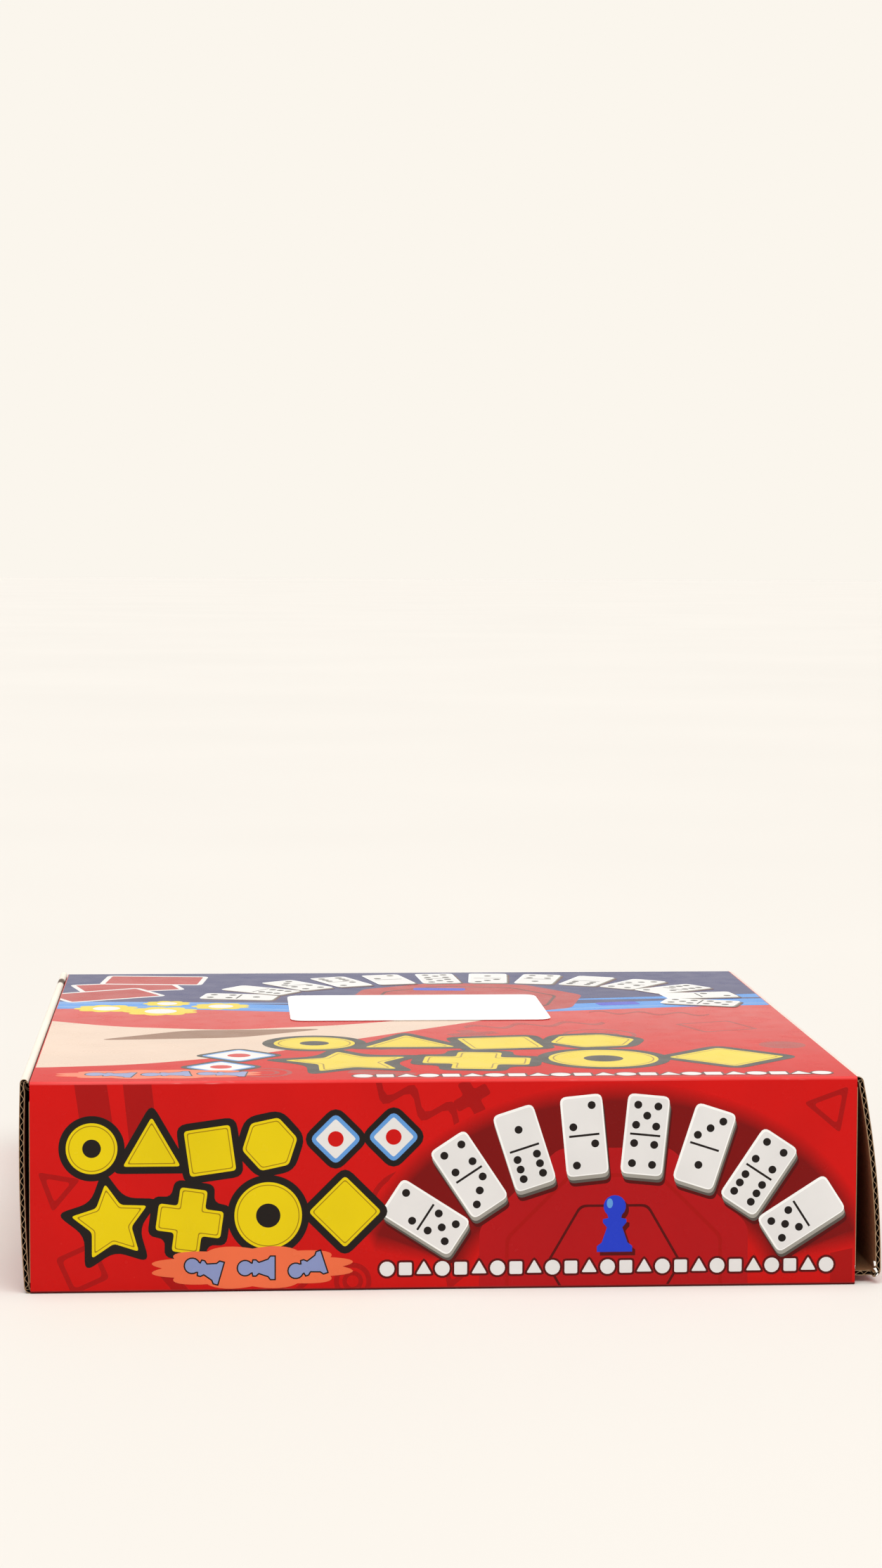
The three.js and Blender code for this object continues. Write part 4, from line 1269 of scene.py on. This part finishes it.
def flap_print(name):
    """The print on an end flap's outer face follows its bow."""
    end = end_named(name)
    line = end.flap_line(size(CARTON, "print_depth"), 0.0)
    tall = line.length
    way = 1 if name == "right" else -1

    def place(a, b, h):
        s = tall - b if name == "right" else b
        p = line.at(s) - line.inwards(s) * h
        return end.world(p.x, p.y, way * a)

    side_margin, end_margin = 0.4, 3.0
    reach = flap_half_span() - side_margin
    sheet = PrintSheet(name + "_flap_print", (-reach, end_margin), (reach, tall - end_margin),
                       place, curve_step=6.0)
    ghosts(sheet, [
        ("ring", -96, 26, 14, 0), ("square", -60, 44, 15, 25), ("wave", -84, 50, 18, 8),
        ("disc", 96, 18, 10, 0), ("triangle", 110, 46, 11, 10), ("cross", 66, 10, 8, 20),
        ("bar", -118, 40, 22, 12), ("ring", 84, 48, 8, 0),
    ])
    for i in range(3):
        domino(sheet, -66 + 20 * i, 34 + 5 * (i % 2), 14.5, 27, -16 + 15 * i,
               ((i * 3 + 2) % 7, (i + 4) % 7))
    bold_form(sheet, star(14, 36, 13, 6.5, 5, 96))
    bold_form(sheet, regular(42, 38, 10, 6, 12))
    bold_form(sheet, cross(68, 34, 9, 7.5, -8))
    frieze(sheet, -60, 8.0, 130, 4.4, 22)
    sheet.finish(name + "_end_flap")


# The wheel

SWITCH_SIDE = 6  # the side of the deck that carries the mode switch, counted from 0
KEY_SLOPE_FROM, KEY_SLOPE_TO, KEY_TIP_TOP = 95.2, 120.4, 21.7  # radii, and the tip's height
LETTER_RADIUS = 106.0


def slab(bm, points, low, high, edge=0.0):
    """An outline made solid between two heights, with its rims rounded if an edge is given."""
    face = bm.faces.new([bm.verts.new((x, y, low)) for x, y in points])
    face.normal_update()
    top = set(extruded(bm, [face], (0, 0, high - low)))
    bm.normal_update()
    if edge:
        rims = {e for v in top for e in v.link_edges if set(e.verts) <= top}
        bevel_edges(bm, rims, edge)


def ridge_band(bm, outer, inner, low, high):
    """A raised line between two outlines with as many corners."""
    a = [bm.verts.new((x, y, low)) for x, y in outer]
    b = [bm.verts.new((x, y, low)) for x, y in inner]
    faces = [bm.faces.new((a[i - 1], a[i], b[i], b[i - 1])) for i in range(len(a))]
    extruded(bm, faces, (0, 0, high - low))


def deck_ridges():
    """Raised lines on the wheel's deck and on its raised middle."""
    rise, sunk = size(WHEEL, "ridge"), 0.1
    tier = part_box("wheel_housing")[1].z / MM
    tier_height = 8.0
    deck = tier - tier_height
    on_deck = (deck - sunk, deck + rise)
    bm = bmesh.new()
    ridge_band(bm, regular(0, 0, 43.0, 8, 0), regular(0, 0, 41.6, 8, 0), *on_deck)
    stepped = [(80, -30), (80, -17), (75, -11), (75, 11), (80, 17), (80, 30)]
    line = [*stepped, *[(x - 1.3, y) for x, y in reversed(stepped)]]
    for i in range(8):
        turn = 22.5 + 45 * i
        slab(bm, turned(line, (0, 0), turn), *on_deck)
        if i == SWITCH_SIDE:
            continue
        for r, reach in ((67.0, 12.0), (61.5, 9.0), (56.0, 6.0)):
            chevron = [(r, -reach), (r + 3, 0), (r, reach), (r - 1.2, reach), (r + 1.8, 0),
                       (r - 1.2, -reach)]
            slab(bm, turned(chevron, (0, 0), turn), *on_deck)
    ridge_band(bm, ellipse(0, 0, 31.5, steps=64), ellipse(0, 0, 30.4, steps=64), tier - sunk,
               tier + rise)
    make_piece("deck_ridges", bm, [red_shell()], "wheel", smooth=20.0)


def key_letter(node):
    """The letter on a key's sloping top, upright for a player in front of that key."""
    low, high = (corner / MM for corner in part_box(node))
    middle = (low + high) / 2
    step = 2 * math.pi / len(KEYS)
    angle = (math.floor(math.atan2(middle.y, middle.x) / step) + 0.5) * step
    # The font spoils its M when it is made bolder, so a W is turned round for it
    body, flip = ("W", Vector((-0.82, -1))) if node[-1] == "M" else (node[-1], Vector((1, 1)))
    curve = bpy.data.curves.new(node, "FONT")
    curve.body = body
    curve.size = size(WHEEL, "letter_size")
    curve.align_x, curve.align_y = "CENTER", "CENTER"
    curve.resolution_u = 4
    curve.offset = 0.25
    holder = bpy.data.objects.new(node, curve)
    flat = bpy.data.meshes.new_from_object(holder)
    bm = bmesh.new()
    bm.from_mesh(flat)
    bpy.data.objects.remove(holder)
    bpy.data.curves.remove(curve)
    bpy.data.meshes.remove(flat)
    bmesh.ops.remove_doubles(bm, verts=bm.verts, dist=0.001)
    lifted = set(extruded(bm, list(bm.faces)))
    outwards = Vector((math.cos(angle), math.sin(angle)))
    right = Vector((-outwards.y, outwards.x))
    slope = (high.z - KEY_TIP_TOP) / (KEY_SLOPE_TO - KEY_SLOPE_FROM)
    for v in bm.verts:
        radius = LETTER_RADIUS - v.co.y * flip.y
        top = high.z - (radius - KEY_SLOPE_FROM) * slope
        spot = outwards * radius + right * v.co.x * flip.x
        v.co = (spot.x, spot.y, top + (0.12 if v in lifted else -0.1))
    black = moulded("letter_black", tint(22, 20, 20), 0.3, 0.42)
    make_piece(node + "_letter", bm, [black], node)


def smooth_spring():
    """The button's spring, drawn as one round wire."""
    low, high = (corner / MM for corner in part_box("button_spring"))
    wire = 0.6
    radius = high.x - wire
    turns, steps = 5, 160
    bm = bmesh.new()
    ring = bmesh.ops.create_circle(bm, segments=10, radius=wire)["verts"]
    bmesh.ops.rotate(bm, verts=ring, cent=(0, 0, 0), matrix=Matrix.Rotation(math.pi / 2, 3, "X"))
    bmesh.ops.translate(bm, vec=(radius, 0, low.z + wire), verts=ring)
    rise = (high.z - low.z - 2 * wire) / steps
    last = bmesh.ops.spin(bm, geom=list(bm.edges), cent=(0, 0, 0), axis=(0, 0, 1),
                          dvec=(0, 0, rise), angle=2 * math.pi * turns, steps=steps,
                          use_merge=False)["geom_last"]
    bm.faces.new(ring)
    bmesh.ops.contextual_create(bm, geom=[e for e in last if isinstance(e, bmesh.types.BMEdge)])
    piece = make_piece("spring_wire", bm, [steel()], node="button_spring",
                       smooth=50.0)
    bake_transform(piece, "wheel", "timer_button", start=Vector((0, 0, low.z)) * MM,
             end=Vector((0, 0, high.z)) * MM)


def sheet_stack(node, name, count, corner, colour):
    """Loose cards or folded sheets, each a little out of line with the next."""
    low, high = (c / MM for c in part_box(node))
    bm = bmesh.new()
    pitch = (high.z - low.z) / count
    stray, trim = 0.3, 0.7
    for i in range(count):
        dx, dy = stray * math.sin(i * 2.4), stray * math.sin(i * 1.7 + 1)
        card = rounded(block(dx, dy, high.x - low.x - trim, high.y - low.y - trim), corner, 3)
        slab(bm, card, low.z + (i + 0.2) * pitch, low.z + (i + 0.95) * pitch)
    material = paper(name, colour, rough=0.5, strength=0.1, contrast=0.2)
    make_piece(name, bm, [material], "wheel", node)


def card_print():
    """The printed side of the lowest card, seen when the card door is open."""
    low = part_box("card_deck_lower")[0].z / MM
    for name, shape, width, corner in (
        ("red", block(0, 0, 50, 80), 4.0, 3.0), ("blue", regular(0, 0, 19, 4), 5.0, 1.5),
        ("yellow", regular(0, 0, 9, 4), 5.0, 0.8),
    ):
        bm = bmesh.new()
        ridge_band(bm, rounded(shape, corner), rounded(grown(shape, -width), corner), low + 0.01,
                   low + 0.08)
        make_piece(f"card_{name}", bm, [ink(name)], "wheel")


def circuit_parts():
    """Chips, resistors and solder points on the circuit board."""
    board_thick = 1.6
    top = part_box("circuit_board")[0].z / MM + board_thick
    black = moulded("chip", tint(24, 24, 26), 0.4, 0.55)
    tin = metal("tin", tint(206, 206, 208))
    chips, leads = bmesh.new(), bmesh.new()
    for x, y, wide, deep, tall in (
        (-11, 9, 8, 6, 1.2), (12, -10, 5, 5, 1.0), (-12, -12, 3.2, 1.6, 0.7),
        (-6, -14, 3.2, 1.6, 0.7), (12, 10, 6, 3, 1.1),
    ):
        slab(chips, block(x, y, wide, deep), top - 0.05, top + tall, 0.15)
        for i in range(4):
            for side in (-1, 1):
                at = x - wide / 2 + wide * (i + 0.5) / 4
                pin = block(at, y + side * (deep / 2 + 0.5), 0.5, 1.0)
                slab(leads, pin, top - 0.02, top + 0.25)
    for name, bm, material in (("circuit_chips", chips, black), ("circuit_leads", leads, tin)):
        make_piece(name, bm, [material], "wheel")


# Operators


class LETTERWHEEL_OT_stage(bpy.types.Operator):
    """Add the pale floor, the soft light and the camera"""

    bl_idname = "letterwheel.stage"
    bl_label = "Studio"

    def execute(self, context):
        stage = settings(STAGE)
        bm = bmesh.new()
        bmesh.ops.create_circle(bm, cap_ends=True, segments=96, radius=30.0)
        mesh = bpy.data.meshes.new("floor")
        bm.to_mesh(mesh)
        bm.free()
        floor = bpy.data.objects.new("floor", mesh)
        context.scene.collection.objects.link(floor)
        nodes = Nodes("pale_floor")
        soft = nodes.noise(1.4, 2.0)
        tone = nodes.tones(soft, stage.floor, 0.985, 1.01)
        mesh.materials.append(nodes.finish(tone, nodes.ramp(soft, 0.72, 0.8),
                                           Specular_IOR_Level=0.1))
        self.add_room(context, stage)
        self.add_camera(context, stage)
        return {"FINISHED"}

    def add_room(self, context, stage):
        """Pale light from low all round, a dimmer ceiling and one wide light in front."""
        world = bpy.data.worlds.new("studio")
        context.scene.world = world
        world.use_nodes = True
        tree = world.node_tree
        place = tree.nodes.new("ShaderNodeTexCoord")
        split = tree.nodes.new("ShaderNodeSeparateXYZ")
        tree.links.new(place.outputs["Generated"], split.inputs["Vector"])
        blend = tree.nodes.new("ShaderNodeMapRange")
        blend.interpolation_type = "SMOOTHSTEP"
        wall_top, ceiling_edge = 0.18, 0.5
        for key, value in (("From Min", wall_top), ("From Max", ceiling_edge), ("To Min", 1.0),
                           ("To Max", stage.ceiling)):
            blend.inputs[key].default_value = value
        tree.links.new(split.outputs["Z"], blend.inputs["Value"])
        background = tree.nodes["Background"]
        background.inputs["Color"].default_value = (*stage.back, 1)
        tree.links.new(blend.outputs["Result"], background.inputs["Strength"])
        lamp = bpy.data.lights.new("wide_front", "SUN")
        lamp.energy = stage.key_light
        lamp.angle = stage.key_spread
        lamp.color = (1.0, 0.99, 0.97)
        holder = bpy.data.objects.new("wide_front", lamp)
        holder.rotation_euler = (stage.key_tilt, 0, stage.key_turn)
        context.scene.collection.objects.link(holder)

    def add_camera(self, context, stage):
        camera = bpy.data.cameras.new("camera")
        camera.sensor_width = 36.0
        camera.lens = stage.lens
        camera.clip_start, camera.clip_end = 0.05, 100.0
        turn = (Matrix.Rotation(stage.yaw, 3, "Z") @ Matrix.Rotation(stage.pitch, 3, "X")
                @ Matrix.Rotation(stage.roll, 3, "Y"))
        right, ahead, up = (turn.col[i] for i in range(3))
        holder = bpy.data.objects.new("camera", camera)
        facing = Matrix((right, up, -ahead)).transposed().to_4x4()
        holder.matrix_world = Matrix.Translation(Vector(stage.place)) @ facing
        context.scene.collection.objects.link(holder)
        context.scene.camera = holder
        context.scene.view_settings.view_transform = "Standard"


class LETTERWHEEL_OT_sleeve(bpy.types.Operator):
    """Build the sleeve's four panels and its glued tab"""

    bl_idname = "letterwheel.sleeve"
    bl_label = "Sleeve"

    def execute(self, context):
        sleeve_board()
        return {"FINISHED"}


class LETTERWHEEL_OT_end_flaps(bpy.types.Operator):
    """Build the end flaps, their tucks and the board over their creases"""

    bl_idname = "letterwheel.end_flaps"
    bl_label = "End flaps"

    def execute(self, context):
        for name in ("right", "left"):
            end_flap_board(name)
            tuck_board(name)
            end_creases(name)
        torn_flakes()
        return {"FINISHED"}


class LETTERWHEEL_OT_dust_flaps(bpy.types.Operator):
    """Build the four small flaps inside the ends"""

    bl_idname = "letterwheel.dust_flaps"
    bl_label = "Dust flaps"

    def execute(self, context):
        for name in ("right", "left"):
            for place in ("front", "rear"):
                dust_board(name, place)
        return {"FINISHED"}


class LETTERWHEEL_OT_prints(bpy.types.Operator):
    """Print the carton's panels and lay the bare label on the top"""

    bl_idname = "letterwheel.prints"
    bl_label = "Print"

    def execute(self, context):
        front_print()
        top_print()
        rear_print()
        for name in ("right", "left"):
            flap_print(name)
        white = colour_of(CARTON, "label")
        dress("label_sticker", paper("label", white, 0.55, strength=0.06, contrast=0.12))
        return {"FINISHED"}


class LETTERWHEEL_OT_shells(bpy.types.Operator):
    """Finish the wheel's two shells, its doors and its feet"""

    bl_idname = "letterwheel.shells"
    bl_label = "Shells"

    def execute(self, context):
        red = red_shell()
        dress("wheel_housing", red)
        dress("wheel_base", red)
        deck_ridges()
        for node in ("card_door", "battery_door"):
            softened(node, red, node, 0.3)
        rubber = moulded("rubber", tint(34, 34, 34), 0.7, 0.9, 300.0, 0.2)
        for number in range(1, 5):
            softened(f"foot_{number}", rubber, "wheel", 0.4)
        return {"FINISHED"}


class LETTERWHEEL_OT_keys(bpy.types.Operator):
    """Round the letter keys and letter them"""

    bl_idname = "letterwheel.keys"
    bl_label = "Letter keys"

    def execute(self, context):
        white = moulded("white", colour_of(WHEEL, "white"), 0.24, 0.34, 420.0, 0.02)
        for node in KEYS:
            softened(node, white, node, size(WHEEL, "key_edge"), least=20)
            key_letter(node)
        return {"FINISHED"}


class LETTERWHEEL_OT_controls(bpy.types.Operator):
    """Finish the timer button, its spring and the mode switch"""

    bl_idname = "letterwheel.controls"
    bl_label = "Controls"

    def execute(self, context):
        edge = size(WHEEL, "edge")
        red = red_shell()
        softened("timer_button", red, "timer_button", edge)
        blue = moulded("blue", colour_of(WHEEL, "blue"))
        softened("mode_switch", blue, "mode_switch", edge)
        smooth_spring()
        return {"FINISHED"}


class LETTERWHEEL_OT_insides(bpy.types.Operator):
    """Finish the electronics, the cells, the cards and the metal parts"""

    bl_idname = "letterwheel.insides"
    bl_label = "Insides"

    def execute(self, context):
        for node in ("key_catch_band", "contact_front", "contact_rear"):
            dress(node, steel())
        for number in range(1, 5):
            softened(f"screw_{number}", steel(), "wheel", 0.2)
        dress("circuit_board", solder_mask())
        circuit_parts()
        black = moulded("black", tint(26, 26, 29), 0.35, 0.5)
        softened("buzzer", black, "wheel", 0.5)
        for node in ("battery_inner", "battery_outer"):
            dress(node, cell_print())
        cards, white = tint(233, 228, 214), tint(244, 242, 236)
        sheet_stack("card_deck_lower", "cards_lower", 20, 3.0, cards)
        sheet_stack("card_deck_upper", "cards_upper", 20, 3.0, cards)
        sheet_stack("rules_leaflet", "leaflet_sheets", 3, 0.3, white)
        card_print()
        return {"FINISHED"}


STEPS = (
    LETTERWHEEL_OT_stage, LETTERWHEEL_OT_sleeve, LETTERWHEEL_OT_end_flaps,
    LETTERWHEEL_OT_dust_flaps, LETTERWHEEL_OT_prints, LETTERWHEEL_OT_shells,
    LETTERWHEEL_OT_keys, LETTERWHEEL_OT_controls, LETTERWHEEL_OT_insides,
)


class LETTERWHEEL_PT_steps(bpy.types.Panel):
    """Lists the building steps and their settings"""

    bl_label = "Letter wheel"
    bl_space_type = "VIEW_3D"
    bl_region_type = "UI"
    bl_category = "Letter wheel"

    def draw(self, context):
        for step in STEPS:
            self.layout.operator(step.bl_idname)
        for group, kind in GROUPS.items():
            box = self.layout.box()
            box.label(text=kind.__doc__)
            for name in kind.__annotations__:
                box.prop(getattr(context.scene, group), name)


def register():
    for item in (*GROUPS.values(), *STEPS, LETTERWHEEL_PT_steps):
        bpy.utils.register_class(item)
    for name, kind in GROUPS.items():
        setattr(bpy.types.Scene, name, PointerProperty(type=kind))


def unregister():
    for name in GROUPS:
        delattr(bpy.types.Scene, name)
    for item in (LETTERWHEEL_PT_steps, *reversed(STEPS), *GROUPS.values()):
        bpy.utils.unregister_class(item)


def main():
    register()
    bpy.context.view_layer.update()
    for step in STEPS:
        getattr(bpy.ops.letterwheel, step.bl_idname.split(".")[1])()
    bpy.context.view_layer.update()


if __name__ == "__main__":
    main()
